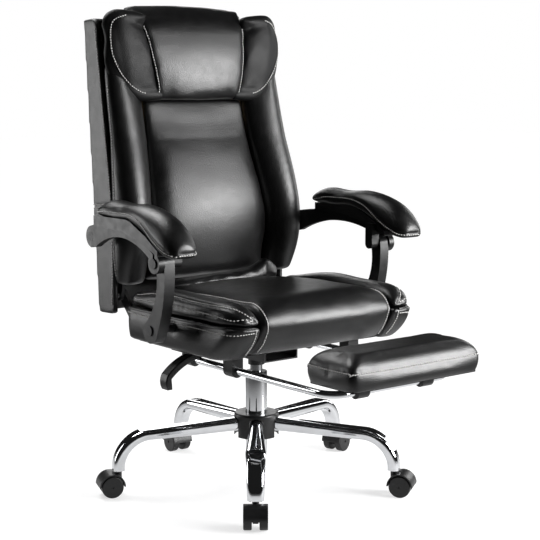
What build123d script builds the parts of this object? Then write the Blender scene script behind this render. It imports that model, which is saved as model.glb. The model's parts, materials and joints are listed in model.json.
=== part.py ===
from build123d import *
from math import atan2, cos, hypot, radians, sin
import os

# Reclining office chair with a pull-out footrest, in millimetres.
# The origin is on the floor under the column. The chair faces -Y, +X is its left side, +Z is up.

os.makedirs("parts", exist_ok=True)

# Fits and gaps
RUNNING_GAP = 0.05
SOFT_GAP = 0.4
SIDE_GAP = 0.5

# Star base and castors
LEG_COUNT = 5
BASE_TURN = -128
STEM_CIRCLE = 328
WHEEL_RADIUS = 25
WHEEL_WIDTH = 18
WHEEL_SPACING = 16
CASTOR_TRAIL = 18
HOOD_GAP = 1.5
HOOD_WALL = 3
HOOD_BOSS_RISE = 3
HOOD_WEB = 12
AXLE_RADIUS = 3
AXLE_SETBACK = 2
TREAD_ROUND = 3
STEM_RADIUS = 5.5
STEM_PIN_RADIUS = 4
STEM_HEIGHT = 22
STEM_FLANGE_RADIUS = 9
STEM_FLANGE = 1
LEG_LEVEL = 137
LEG_ROOT_RISE = 7
LEG_FOOT = 4
LEG_WALL = 2.5
LEG_ROUND = 0.42
LEG_ROOT_WIDTH = 28
LEG_ROOT_HEIGHT = 32
LEG_WIDTH = 46
LEG_HEIGHT = 24
LEG_END_WIDTH = 36
LEG_END_THICKNESS = 26
HUB_FLAT = 36
HUB_BOTTOM = 116
HUB_TOP = 163
HUB_COVER_RADIUS = 52
HUB_COVER_WALL = 2.5
HUB_COVER_TOP = 6
HUB_COVER_BOTTOM = 114

# Column
COLUMN_RADIUS = 25
COLUMN_WALL = 2
COLUMN_BOTTOM = 72
COLUMN_TOP = 260
COLUMN_FLOOR = 4
BUSH_FLANGE = 6
BUSH_DEPTH = 60
ROD_RADIUS = 5
ROD_TAIL = 8
BEARING_HEIGHT = 8
BEARING_RADIUS = 18
CYLINDER_RADIUS = 14
CYLINDER_BORE = 11
CYLINDER_FLOOR_GAP = 4
CYLINDER_PLUG = 10
LIFT_TRAVEL = 80
PISTON_HEIGHT = 10
PISTON_SPARE = 6
CYLINDER_PROUD = 2
BUTTON_RADIUS = 4
BUTTON_RISE = 7
BUTTON_DEPTH = 9
BUTTON_WELL = 14

# Seat mechanism and height lever
SEAT_BOTTOM = 350
PLATE_LENGTH = 210
PLATE_WIDTH = 190
PLATE_THICKNESS = 4
CHANNEL_LENGTH = 184
CHANNEL_WIDTH = 96
CHANNEL_DEPTH = 42
CHANNEL_WALL = 3
SOCKET_RADIUS = 19
SOCKET_HEIGHT = 36
SOCKET_RISE = 14
SOCKET_DRAFT = 1
BOLT_SPREAD_X = 166
BOLT_SPREAD_Y = 170
BOLT_RADIUS = 4
BOLT_HEAD_RADIUS = 7
BOLT_HEAD = 4
BOLT_END_GAP = 2
LEVER_RADIUS = 4
LEVER_PIVOT_X = -30
LEVER_REACH = 196
LEVER_OFFSET_Y = -20
LEVER_TRUNNION_RADIUS = 2.5
LEVER_LUG_GAP = 22
LEVER_LUG = 4
GRIP_START = 165
GRIP_REACH = 66
GRIP_DROP = 70
GRIP_HALF = 6
GRIP_WIDTH = 28
GRIP_EDGE = 3

# Seat
SEAT_HALF = 262
SEAT_REAR = 165
SEAT_CORNER = 42
BASE_SHARE = 0.6
BASE_TUCK = 5
NOSE_FRONT = -279
NOSE_FOOT = -213
NOSE_DEPTH = 62
LIP_DEPTH = 20
PANEL_HALF = 188
SEAT_CREST = 475
BASE_TOP = SEAT_BOTTOM + BASE_SHARE * (SEAT_CREST - SEAT_BOTTOM)
SEAT_CROWN = 8
CUSHION_REAR = 148
BOLSTER_TUCK = 4
BOARD_THICKNESS = 15
BOARD_HALF = 238
BOARD_FRONT = -186
BOARD_REAR = 150

# Recline hinge, armrest linkage (y, z of each pivot)
KNUCKLE_Y = -84
KNUCKLE_Z = 550
POST_PIVOT_Y = -43
POST_SINK = 24
POST_PIVOT_Z = BASE_TOP - POST_SINK
REAR_PIVOT_Y = 221
REAR_PIVOT_RISE = 30
REAR_PIVOT_Z = KNUCKLE_Z + REAR_PIVOT_RISE
HINGE_Y = POST_PIVOT_Y + REAR_PIVOT_Y - KNUCKLE_Y
HINGE_Z = POST_PIVOT_Z + REAR_PIVOT_Z - KNUCKLE_Z
HINGE_PIN_RADIUS = 6
HINGE_EYE = 13
HINGE_PLATE = 8
BRACKET_HEEL_Y = 178
BRACKET_FRONT_Y = 40
BRACKET_FLANGE = 28
BRACKET_DEPTH = 18
BRACKET_BEND = 8
EAR_TOP = 140

# Back, measured from the foot of its rear face: x, height h up the back, depth d forward
BACK_LEAN = 4
BACK_FOOT_Y = 284
BACK_FOOT_Z = 391
SHELL_HALF = 250
SHELL_HEIGHT = 682
SHELL_WALL = 12
SHELL_PANEL = 6
SHELL_TOP_ROUND = 26
BAND_FOOT = 70
BAND_WAIST = 88
BAND_TOP = 60
WAIST_HEIGHT = 245
BACK_BOARD_DEPTH = 46
BACK_BOARD_THICKNESS = 12
BACK_BOARD_INSET = 38
BACK_BOARD_HALF = SHELL_HALF - BACK_BOARD_INSET
BRACKET_INSET = 17
BRACKET_X = BACK_BOARD_HALF - BRACKET_INSET
BACK_BOARD_FOOT = 80
BACK_BOARD_DROP = 42
BACK_BOARD_TOP = SHELL_HEIGHT - BACK_BOARD_DROP
BACK_BOARD_CORNER = 20
BAND_BULGE = 4
HEADREST_DEPTH = 113
HEADREST_OVERLAP = 12
HEADREST_SINK = 8
CUSHION_FOOT = 66
PANEL_TOP_GAP = 8
HEADREST_DROP = 200
HEADREST_RISE = 41
HEADREST_GAP = 4
HEADREST_FOOT = SHELL_HEIGHT - HEADREST_DROP
HEADREST_TOP = SHELL_HEIGHT + HEADREST_RISE
BOLSTER_HEAD = HEADREST_FOOT - HEADREST_GAP
HEADREST_FOOT_HALF = 123
HEADREST_TOP_HALF = 168
WING_REACH = 5
WING_HALF = SHELL_HALF + WING_REACH
WING_TIP = 12
WING_REAR = 80

# Armrests
POST_OUTER = 320
POST_WIDTH = 26
POST_EYE = 17
BAR_THICKNESS = 15
BAR_EYE = 21
BAR_BOSS = 25
BAR_HEIGHT = 20
BAR_ARCH = 62
BAR_TOE_IN = 33
PAD_TOE_IN = 9
LUG_RADIUS = 12
LUG_WIDTH = 22
OPEN_PIVOT_GAP = 0.4
POST_BOSS = 28
ARM_FOOT = 22
ARM_BRACKET_LENGTH = 64
ARM_BRACKET_RISE = 18
PAD_WIDTH = 82
PAD_CENTRE = 318
TRAY_WIDTH = 70
PAD_RISE = 118
PAD_TOP = KNUCKLE_Z + PAD_RISE
PAD_DROP = 100
PAD_REAR_Y = 140
PAD_TIP_Y = -186
ARM_PIN_RADIUS = 8
ARM_CAP_RADIUS = 11
ARM_CAP = 3
POST_PIN_RADIUS = 8
REAR_PIN_RADIUS = 5
ARM_PLATE = 5

# Footrest
REST_ROD_RADIUS = 8
REST_ROD_WALL = 1.5
REST_ROD_HALF = 167
REST_ROD_Z = 311
REST_BEND = 40
REST_BAR_Y = -457
REST_ROD_END_Y = 42
REST_PAD_HALF = 181
REST_PAD_DEPTH = 148
REST_PAD_Y = -462
REST_PAD_BOTTOM = 329
REST_PAD_SEAM = 46
REST_PAD_HEIGHT = 69
REST_PAD_CROWN = 40
REST_PAD_CORNER = 18
REST_BOARD = 10
REST_BOARD_INSET = 12
CLIP_X = 90
CLIP_WIDTH = 30
CLIP_DEPTH = 28
GUIDE_WIDTH = 30
GUIDE_LENGTH = 32
GUIDE_FRONT_Y = -134
GUIDE_REAR_Y = 22


def save(builder, name):
    builder.part.label = name
    export_step(builder.part, f"parts/{name}.step")


def side_plane(x):
    # Vertical plane at x, drawn in chair y and z
    return Plane.YZ.offset(x)


BACK_UP = Vector(0, sin(radians(BACK_LEAN)), cos(radians(BACK_LEAN)))
BACK_FRONT = Vector(0, -cos(radians(BACK_LEAN)), sin(radians(BACK_LEAN)))
BACK_FOOT = Vector(0, BACK_FOOT_Y, BACK_FOOT_Z)


def back_level(h):
    # Plane across the back at height h, drawn in x and depth d
    return Plane(origin=BACK_FOOT + BACK_UP * h, x_dir=(1, 0, 0), z_dir=-BACK_UP)


def back_side(x):
    # Plane along the back at x, drawn in height h and depth d
    return Plane(origin=BACK_FOOT + Vector(x, 0, 0), x_dir=BACK_UP, z_dir=(1, 0, 0))


def back_local(y, z):
    # Height h and depth d of a chair point
    rise = Vector(0, y, z) - BACK_FOOT
    return rise.dot(BACK_UP), rise.dot(BACK_FRONT)


HINGE_H, HINGE_D = back_local(HINGE_Y, HINGE_Z)
REAR_PIVOT_H, REAR_PIVOT_D = back_local(REAR_PIVOT_Y, REAR_PIVOT_Z)

# Levels that follow from the sizes above
HOOD_RADIUS = WHEEL_RADIUS + HOOD_GAP + HOOD_WALL
CASTOR_TOP = WHEEL_RADIUS + HOOD_RADIUS + HOOD_BOSS_RISE
LEG_END = CASTOR_TOP + STEM_FLANGE
LEG_BEND = LEG_LEVEL - LEG_END - LEG_FOOT
CYLINDER_FOOT = COLUMN_BOTTOM + COLUMN_FLOOR + BEARING_HEIGHT + CYLINDER_FLOOR_GAP
CHANNEL_BOTTOM = SEAT_BOTTOM - PLATE_THICKNESS - CHANNEL_DEPTH
SOCKET_TOP = CHANNEL_BOTTOM + SOCKET_RISE
SOCKET_FOOT = SOCKET_TOP - SOCKET_HEIGHT
CYLINDER_TOP = SOCKET_TOP + CYLINDER_PROUD
BUTTON_TOP = CYLINDER_TOP + BUTTON_RISE
LEVER_Z = BUTTON_TOP + LEVER_RADIUS + SIDE_GAP
PISTON_FOOT = CYLINDER_FOOT + CYLINDER_PLUG + LIFT_TRAVEL + PISTON_SPARE


# Star base

LEG_BEND_R = STEM_CIRCLE - LEG_BEND
LEG_BEND_Z = LEG_LEVEL - LEG_BEND


def leg_section(r, z, turn, width, thickness):
    # Rounded section square to the leg, which points outward at turn 0 and down at turn 90
    direction = (cos(radians(turn)), 0, -sin(radians(turn)))
    with BuildSketch(Plane(origin=(r, 0, z), x_dir=(0, 1, 0), z_dir=direction)) as section:
        RectangleRounded(width, thickness, LEG_ROUND * min(width, thickness))
    return section.sketch


def leg_run(wall):
    # The straight run from the hub to the bend, less the wall on each side
    root_z = LEG_LEVEL + LEG_ROOT_RISE
    return [leg_section(HUB_FLAT, root_z, 0, LEG_ROOT_WIDTH - 2 * wall, LEG_ROOT_HEIGHT - 2 * wall),
            leg_section(LEG_BEND_R, LEG_LEVEL, 0, LEG_WIDTH - 2 * wall, LEG_HEIGHT - 2 * wall)]


def leg_bend(wall, turns):
    # The bend down to the castor, less the wall on each side
    sections = []
    for turn in turns:
        share = turn / 90
        r = LEG_BEND_R + LEG_BEND * sin(radians(turn))
        z = LEG_BEND_Z + LEG_BEND * cos(radians(turn))
        width = LEG_WIDTH + share * (LEG_END_WIDTH - LEG_WIDTH)
        thickness = LEG_HEIGHT + share * (LEG_END_THICKNESS - LEG_HEIGHT)
        sections.append(leg_section(r, z, turn, width - 2 * wall, thickness - 2 * wall))
    return sections


with BuildPart() as leg_form:
    loft(leg_run(0))
    loft(leg_bend(0, (0, 30, 60, 90)))
    with BuildSketch(Plane.XY.offset(LEG_END)):
        with Locations((STEM_CIRCLE, 0)):
            RectangleRounded(LEG_END_THICKNESS, LEG_END_WIDTH, LEG_ROUND * LEG_END_THICKNESS)
    extrude(amount=LEG_FOOT)
    loft(leg_run(LEG_WALL), mode=Mode.SUBTRACT)
    loft(leg_bend(LEG_WALL, (0, 30, 60)), mode=Mode.SUBTRACT)
    with Locations((STEM_CIRCLE, 0, LEG_END)):
        Cylinder(STEM_RADIUS + RUNNING_GAP, STEM_HEIGHT + SIDE_GAP,
                 align=(Align.CENTER, Align.CENTER, Align.MIN), mode=Mode.SUBTRACT)

LEG_ANGLES = [BASE_TURN + 360 / LEG_COUNT * k for k in range(LEG_COUNT)]

for number, angle in enumerate(LEG_ANGLES, start=1):
    with BuildPart() as base_leg:
        with Locations(Location((0, 0, 0), (0, 0, angle))):
            add(leg_form.part)
    save(base_leg, f"base_leg_{number}")

with BuildPart() as base_hub:
    with BuildSketch(Plane.XY.offset(HUB_BOTTOM)):
        RegularPolygon(HUB_FLAT, LEG_COUNT, major_radius=False, rotation=BASE_TURN + 180 / LEG_COUNT)
        Circle(COLUMN_RADIUS + RUNNING_GAP, mode=Mode.SUBTRACT)
    extrude(amount=HUB_TOP - HUB_BOTTOM)
save(base_hub, "base_hub")

with BuildPart() as hub_cover:
    cover_height = HUB_TOP + HUB_COVER_TOP - HUB_COVER_BOTTOM
    with BuildSketch(Plane.XY.offset(HUB_COVER_BOTTOM)):
        Circle(HUB_COVER_RADIUS)
    extrude(amount=cover_height)
    fillet(hub_cover.edges().group_by(Axis.Z)[-1], radius=HUB_COVER_TOP - 1)
    with BuildSketch(Plane.XY.offset(HUB_COVER_BOTTOM)):
        Circle(HUB_COVER_RADIUS - HUB_COVER_WALL)
    extrude(amount=HUB_TOP - HUB_COVER_BOTTOM, mode=Mode.SUBTRACT)
    Cylinder(COLUMN_RADIUS + SIDE_GAP, 2 * (HUB_TOP + HUB_COVER_TOP), mode=Mode.SUBTRACT)
    mouth_width = LEG_ROOT_WIDTH + (LEG_WIDTH - LEG_ROOT_WIDTH) / 4
    mouth_top = LEG_LEVEL + LEG_ROOT_RISE + LEG_ROOT_HEIGHT / 2 + SIDE_GAP
    for angle in LEG_ANGLES:
        direction = Vector(cos(radians(angle)), sin(radians(angle)), 0)
        mouth_plane = Plane(origin=(0, 0, mouth_top), x_dir=(-direction.Y, direction.X, 0), z_dir=direction)
        with BuildSketch(mouth_plane):
            RectangleRounded(mouth_width, 2 * (mouth_top - HUB_COVER_BOTTOM), mouth_width / 3,
                             align=(Align.CENTER, Align.MAX))
        extrude(amount=2 * HUB_COVER_RADIUS, mode=Mode.SUBTRACT)
save(hub_cover, "hub_cover")

# Column: fixed outer tube, guide bush, thrust bearing, piston rod and moving gas cylinder

with BuildPart() as column_tube:
    with BuildSketch(Plane.XY.offset(COLUMN_BOTTOM)):
        Circle(COLUMN_RADIUS)
    extrude(amount=COLUMN_TOP - COLUMN_BOTTOM)
    with BuildSketch(Plane.XY.offset(COLUMN_BOTTOM + COLUMN_FLOOR)):
        Circle(COLUMN_RADIUS - COLUMN_WALL)
    extrude(amount=COLUMN_TOP - COLUMN_BOTTOM, mode=Mode.SUBTRACT)
    with BuildSketch(Plane.XY.offset(COLUMN_BOTTOM)):
        Circle(ROD_RADIUS + RUNNING_GAP)
    extrude(amount=COLUMN_FLOOR, mode=Mode.SUBTRACT)
save(column_tube, "column_tube")

with BuildPart() as column_bush:
    with BuildSketch(Plane.XY.offset(COLUMN_TOP - BUSH_DEPTH)):
        Circle(COLUMN_RADIUS - COLUMN_WALL - RUNNING_GAP)
    extrude(amount=BUSH_DEPTH)
    with BuildSketch(Plane.XY.offset(COLUMN_TOP)):
        Circle(COLUMN_RADIUS)
    extrude(amount=BUSH_FLANGE)
    fillet(column_bush.edges().group_by(Axis.Z)[-1], radius=BUSH_FLANGE / 3)
    Cylinder(CYLINDER_RADIUS + RUNNING_GAP, 2 * (COLUMN_TOP + BUSH_FLANGE), mode=Mode.SUBTRACT)
save(column_bush, "column_bush")

with BuildPart() as thrust_bearing:
    with BuildSketch(Plane.XY.offset(COLUMN_BOTTOM + COLUMN_FLOOR)):
        Circle(BEARING_RADIUS)
        Circle(ROD_RADIUS + RUNNING_GAP, mode=Mode.SUBTRACT)
    extrude(amount=BEARING_HEIGHT)
save(thrust_bearing, "thrust_bearing")

with BuildPart() as piston_rod:
    with BuildSketch(Plane.XY.offset(COLUMN_BOTTOM - ROD_TAIL)):
        Circle(ROD_RADIUS)
    extrude(amount=PISTON_FOOT + PISTON_HEIGHT - COLUMN_BOTTOM + ROD_TAIL)
    with BuildSketch(Plane.XY.offset(PISTON_FOOT)):
        Circle(CYLINDER_BORE - 2 * RUNNING_GAP)
    extrude(amount=PISTON_HEIGHT)
save(piston_rod, "piston_rod")

with BuildPart() as rod_clip:
    with BuildSketch(Plane.XY.offset(COLUMN_BOTTOM - ROD_TAIL)):
        Circle(2 * ROD_RADIUS)
        Circle(ROD_RADIUS + RUNNING_GAP, mode=Mode.SUBTRACT)
    extrude(amount=ROD_TAIL - SIDE_GAP)
save(rod_clip, "rod_clip")

with BuildPart() as gas_cylinder:
    with BuildSketch(Plane.XZ):
        with BuildLine():
            Polyline((0, CYLINDER_FOOT), (CYLINDER_RADIUS, CYLINDER_FOOT), (CYLINDER_RADIUS, SOCKET_FOOT),
                     (CYLINDER_RADIUS - SOCKET_DRAFT, CYLINDER_TOP), (0, CYLINDER_TOP), close=True)
        make_face()
    revolve(axis=Axis.Z)
    bore_foot = CYLINDER_FOOT + CYLINDER_PLUG
    bore_top = CYLINDER_TOP - BUTTON_WELL - CYLINDER_PLUG
    with BuildSketch(Plane.XY.offset(bore_foot)):
        Circle(CYLINDER_BORE)
    extrude(amount=bore_top - bore_foot, mode=Mode.SUBTRACT)
    with BuildSketch(Plane.XY.offset(CYLINDER_FOOT)):
        Circle(ROD_RADIUS + RUNNING_GAP)
    extrude(amount=CYLINDER_PLUG, mode=Mode.SUBTRACT)
    with BuildSketch(Plane.XY.offset(CYLINDER_TOP)):
        Circle(BUTTON_RADIUS + RUNNING_GAP)
    extrude(amount=-BUTTON_WELL, mode=Mode.SUBTRACT)
save(gas_cylinder, "gas_cylinder")

with BuildPart() as release_button:
    with BuildSketch(Plane.XY.offset(CYLINDER_TOP - BUTTON_DEPTH)):
        Circle(BUTTON_RADIUS)
    extrude(amount=BUTTON_DEPTH + BUTTON_RISE)
    fillet(release_button.edges().group_by(Axis.Z)[-1], radius=BUTTON_RADIUS / 4)
save(release_button, "release_button")

# Castors, drawn with the stem on the z axis and the wheels trailing to +x

AXLE_PLANE = Plane(origin=(CASTOR_TRAIL, 0, WHEEL_RADIUS), x_dir=(1, 0, 0), z_dir=(0, -1, 0))
WHEELS_HALF = WHEEL_SPACING / 2 + WHEEL_WIDTH

with BuildPart() as hood_form:
    with BuildSketch(AXLE_PLANE):
        Circle(HOOD_RADIUS)
        Circle(WHEEL_RADIUS + HOOD_GAP, mode=Mode.SUBTRACT)
        Rectangle(3 * HOOD_RADIUS, 2 * HOOD_RADIUS, align=(Align.CENTER, Align.MAX), mode=Mode.SUBTRACT)
    extrude(amount=WHEELS_HALF, both=True)
    with BuildSketch(AXLE_PLANE):
        Circle(WHEEL_RADIUS + HOOD_GAP + HOOD_WALL / 2)
        Rectangle(3 * HOOD_RADIUS, 2 * HOOD_RADIUS, align=(Align.CENTER, Align.MAX), mode=Mode.SUBTRACT)
        Circle(4 * AXLE_RADIUS)
    extrude(amount=HOOD_WEB / 2, both=True)
    with BuildSketch(Plane.XY.offset(WHEEL_RADIUS)):
        Circle(WHEEL_SPACING / 2 - SIDE_GAP)
    extrude(amount=CASTOR_TOP - WHEEL_RADIUS)
    with BuildSketch(AXLE_PLANE):
        Circle(AXLE_RADIUS + RUNNING_GAP)
    extrude(amount=WHEELS_HALF, both=True, mode=Mode.SUBTRACT)
    with BuildSketch(Plane.XY.offset(CASTOR_TOP)):
        Circle(STEM_PIN_RADIUS + RUNNING_GAP)
    extrude(amount=-(CASTOR_TOP - WHEEL_RADIUS - HOOD_WALL), mode=Mode.SUBTRACT)

with BuildPart() as wheels_form:
    for side in (-1, 1):
        inner = AXLE_PLANE.offset(side * (WHEEL_SPACING / 2))
        with BuildSketch(inner):
            Circle(WHEEL_RADIUS)
            Circle(AXLE_RADIUS + RUNNING_GAP, mode=Mode.SUBTRACT)
        extrude(amount=side * WHEEL_WIDTH)
    fillet(wheels_form.edges().filter_by(GeomType.CIRCLE).group_by(SortBy.RADIUS)[-1], radius=TREAD_ROUND)
    with BuildSketch(AXLE_PLANE):
        Circle(AXLE_RADIUS)
    extrude(amount=WHEELS_HALF - AXLE_SETBACK, both=True)

with BuildPart() as stem_form:
    with BuildSketch(Plane.XY.offset(WHEEL_RADIUS + 2 * HOOD_WALL)):
        Circle(STEM_PIN_RADIUS)
    extrude(amount=CASTOR_TOP - WHEEL_RADIUS - 2 * HOOD_WALL)
    with BuildSketch(Plane.XY.offset(CASTOR_TOP)):
        Circle(STEM_FLANGE_RADIUS)
    extrude(amount=STEM_FLANGE)
    with BuildSketch(Plane.XY.offset(LEG_END)):
        Circle(STEM_RADIUS)
    extrude(amount=STEM_HEIGHT)

CASTOR_PLACES = [
    Location((STEM_CIRCLE * cos(radians(angle)), STEM_CIRCLE * sin(radians(angle)), 0), (0, 0, angle))
    for angle in LEG_ANGLES
]

for number, place in enumerate(CASTOR_PLACES, start=1):
    with BuildPart() as castor_hood:
        with Locations(place):
            add(hood_form.part)
    save(castor_hood, f"castor_hood_{number}")
    with BuildPart() as castor_wheels:
        with Locations(place):
            add(wheels_form.part)
    save(castor_wheels, f"castor_wheels_{number}")

with BuildPart() as castor_stems:
    with Locations(*CASTOR_PLACES):
        add(stem_form.part)
save(castor_stems, "castor_stems")

# Seat mechanism

with BuildPart() as mechanism_housing:
    with BuildSketch(Plane.XY.offset(SEAT_BOTTOM - PLATE_THICKNESS)):
        RectangleRounded(PLATE_WIDTH, PLATE_LENGTH, 3 * PLATE_THICKNESS)
    extrude(amount=PLATE_THICKNESS)
    with BuildSketch(Plane.XY.offset(CHANNEL_BOTTOM)):
        Rectangle(CHANNEL_WIDTH, CHANNEL_LENGTH)
    extrude(amount=CHANNEL_DEPTH)
    with BuildSketch(Plane.XY.offset(CHANNEL_BOTTOM + CHANNEL_WALL)):
        Rectangle(CHANNEL_WIDTH - 2 * CHANNEL_WALL, CHANNEL_LENGTH)
    extrude(amount=CHANNEL_DEPTH - CHANNEL_WALL, mode=Mode.SUBTRACT)
    with BuildSketch(Plane.XY.offset(SOCKET_FOOT)):
        Circle(SOCKET_RADIUS)
    extrude(amount=SOCKET_HEIGHT)
    with BuildSketch(Plane.XZ):
        with BuildLine():
            Polyline((0, SOCKET_FOOT), (CYLINDER_RADIUS + RUNNING_GAP, SOCKET_FOOT),
                     (CYLINDER_RADIUS - SOCKET_DRAFT + RUNNING_GAP, CYLINDER_TOP),
                     (0, CYLINDER_TOP), close=True)
        make_face()
    revolve(axis=Axis.Z, mode=Mode.SUBTRACT)
    lug_top = LEVER_Z + 2 * LEVER_TRUNNION_RADIUS
    lug_foot = CHANNEL_BOTTOM + CHANNEL_WALL
    for side in (-1, 1):
        with BuildSketch(Plane.XY.offset(lug_foot)):
            with Locations((LEVER_PIVOT_X, side * (LEVER_LUG_GAP + LEVER_LUG) / 2)):
                Rectangle(4 * LEVER_TRUNNION_RADIUS, LEVER_LUG)
        extrude(amount=lug_top - lug_foot)
    with BuildSketch(Plane.XZ):
        with Locations((LEVER_PIVOT_X, LEVER_Z)):
            Circle(LEVER_TRUNNION_RADIUS + RUNNING_GAP)
    extrude(amount=LEVER_LUG_GAP + 2 * LEVER_LUG, both=True, mode=Mode.SUBTRACT)
    with BuildSketch(Plane.YZ.offset(-CHANNEL_WIDTH / 2)):
        with Locations((0, LEVER_Z)):
            RectangleRounded(6 * LEVER_RADIUS, 4 * LEVER_RADIUS, LEVER_RADIUS)
    extrude(amount=CHANNEL_WALL, mode=Mode.SUBTRACT)
    with BuildSketch(Plane.XY.offset(SEAT_BOTTOM)):
        with GridLocations(BOLT_SPREAD_X, BOLT_SPREAD_Y, 2, 2):
            Circle(BOLT_RADIUS + RUNNING_GAP)
    extrude(amount=-PLATE_THICKNESS, mode=Mode.SUBTRACT)
save(mechanism_housing, "mechanism_housing")

with BuildPart() as mechanism_bolts:
    with BuildSketch(Plane.XY.offset(SEAT_BOTTOM - PLATE_THICKNESS)):
        with GridLocations(BOLT_SPREAD_X, BOLT_SPREAD_Y, 2, 2):
            RegularPolygon(BOLT_HEAD_RADIUS, 6)
    extrude(amount=-BOLT_HEAD)
    with BuildSketch(Plane.XY.offset(SEAT_BOTTOM - PLATE_THICKNESS)):
        with GridLocations(BOLT_SPREAD_X, BOLT_SPREAD_Y, 2, 2):
            Circle(BOLT_RADIUS)
    extrude(amount=PLATE_THICKNESS + BOARD_THICKNESS - BOLT_END_GAP)
save(mechanism_bolts, "mechanism_bolts")

# Height lever: the rod's inner end lies over the release button

LEVER_END = Vector(-LEVER_REACH, LEVER_OFFSET_Y, LEVER_Z)
LEVER_TIP = Vector(2 * LEVER_RADIUS, 0, LEVER_Z)
LEVER_LINE = LEVER_END - LEVER_TIP

with BuildPart() as lever_rod:
    with BuildSketch(Plane(origin=LEVER_TIP, x_dir=(0, 0, 1), z_dir=LEVER_LINE)):
        Circle(LEVER_RADIUS)
    extrude(amount=LEVER_LINE.length - LEVER_RADIUS)
    with BuildSketch(Plane.XZ):
        with Locations((LEVER_PIVOT_X, LEVER_Z)):
            Circle(LEVER_TRUNNION_RADIUS)
    extrude(amount=LEVER_LUG_GAP / 2 + LEVER_LUG, both=True)
save(lever_rod, "lever_rod")

with BuildPart() as lever_grip:
    grip_foot = LEVER_REACH + GRIP_REACH
    with BuildSketch(Plane.XZ.offset(-LEVER_OFFSET_Y - GRIP_WIDTH / 2)):
        with BuildLine():
            top = ThreePointArc((-GRIP_START, LEVER_Z + GRIP_HALF),
                                (-LEVER_REACH - 0.3 * GRIP_REACH, LEVER_Z - 0.03 * GRIP_DROP),
                                (-grip_foot - GRIP_HALF, LEVER_Z - 0.51 * GRIP_DROP))
            toe = ThreePointArc(top @ 1, (-grip_foot - 1.8 * GRIP_HALF, LEVER_Z - 0.74 * GRIP_DROP),
                                (-grip_foot - GRIP_HALF, LEVER_Z - GRIP_DROP))
            sole = Line(toe @ 1, (-grip_foot + GRIP_HALF, LEVER_Z - GRIP_DROP))
            heel = Line(sole @ 1, (-grip_foot + 0.7 * GRIP_HALF, LEVER_Z - 0.66 * GRIP_DROP))
            under = ThreePointArc(heel @ 1, (-LEVER_REACH - 0.4 * GRIP_REACH, LEVER_Z - 0.31 * GRIP_DROP),
                                  (-GRIP_START, LEVER_Z - 1.15 * GRIP_HALF))
            Line(under @ 1, top @ 0)
        make_face()
    extrude(amount=GRIP_WIDTH)
    fillet(lever_grip.edges().filter_by(Axis.Y, reverse=True), radius=GRIP_EDGE)
    with BuildSketch(Plane(origin=LEVER_TIP, x_dir=(0, 0, 1), z_dir=LEVER_LINE)):
        Circle(LEVER_RADIUS + RUNNING_GAP)
    extrude(amount=LEVER_LINE.length, mode=Mode.SUBTRACT)
save(lever_grip, "lever_grip")

# Seat

with BuildPart() as seat_board:
    with BuildSketch(Plane.XY.offset(SEAT_BOTTOM)):
        with Locations((0, (BOARD_FRONT + BOARD_REAR) / 2)):
            Rectangle(2 * BOARD_HALF, BOARD_REAR - BOARD_FRONT)
    extrude(amount=BOARD_THICKNESS)
    with BuildSketch(Plane.XY.offset(SEAT_BOTTOM)):
        with GridLocations(BOLT_SPREAD_X, BOLT_SPREAD_Y, 2, 2):
            Circle(BOLT_RADIUS + RUNNING_GAP)
    extrude(amount=BOARD_THICKNESS, mode=Mode.SUBTRACT)
save(seat_board, "seat_board")

ARM_BRACKET_X = BOARD_HALF + SOFT_GAP
PIN_PLATE_FRONT = REAR_PIVOT_D + 2 * REAR_PIN_RADIUS
BASE_HEIGHT = BASE_TOP - SEAT_BOTTOM
CUSHION_RISE = SEAT_CREST - BASE_TOP

with BuildPart() as seat_base:
    for height, tuck, reach in ((0, BASE_TUCK, -0.09), (0.5, 0, 0.5), (1, 0.6 * BASE_TUCK, 0.8)):
        front = NOSE_FOOT + reach * (NOSE_FRONT - NOSE_FOOT)
        with BuildSketch(Plane.XY.offset(SEAT_BOTTOM + height * BASE_HEIGHT)):
            with Locations((0, (front + SEAT_REAR) / 2)):
                RectangleRounded(2 * (SEAT_HALF - tuck), SEAT_REAR - front, SEAT_CORNER)
    loft()
    with BuildSketch(Plane.XY.offset(SEAT_BOTTOM)):
        with Locations((0, NOSE_FOOT + LIP_DEPTH + SOFT_GAP)):
            Rectangle(2 * (PANEL_HALF + SOFT_GAP), LIP_DEPTH + NOSE_FOOT - NOSE_FRONT + SEAT_CORNER,
                      align=(Align.CENTER, Align.MAX))
    extrude(amount=BASE_HEIGHT, mode=Mode.SUBTRACT)
    with BuildSketch(Plane.XY.offset(SEAT_BOTTOM)):
        with Locations((0, (BOARD_FRONT + BOARD_REAR) / 2)):
            Rectangle(2 * (BOARD_HALF + SOFT_GAP), BOARD_REAR - BOARD_FRONT + 2 * SOFT_GAP)
    extrude(amount=BOARD_THICKNESS + SOFT_GAP, mode=Mode.SUBTRACT)
    for side in (-1, 1):
        plate_centre = side * (ARM_BRACKET_X + ARM_PLATE / 2)
        with BuildSketch(Plane.XY.offset(SEAT_BOTTOM)):
            with Locations((plate_centre, POST_PIVOT_Y)):
                Rectangle(ARM_PLATE + 2 * SOFT_GAP, ARM_BRACKET_LENGTH + 2 * SOFT_GAP)
        extrude(amount=POST_PIVOT_Z + ARM_BRACKET_RISE + SOFT_GAP - SEAT_BOTTOM, mode=Mode.SUBTRACT)
        with BuildSketch(side_plane(plate_centre)):
            with Locations((POST_PIVOT_Y, POST_PIVOT_Z)):
                Circle(POST_PIN_RADIUS + SOFT_GAP)
        extrude(amount=side * (SEAT_HALF - BOARD_HALF), mode=Mode.SUBTRACT)
save(seat_base, "seat_base")


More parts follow.
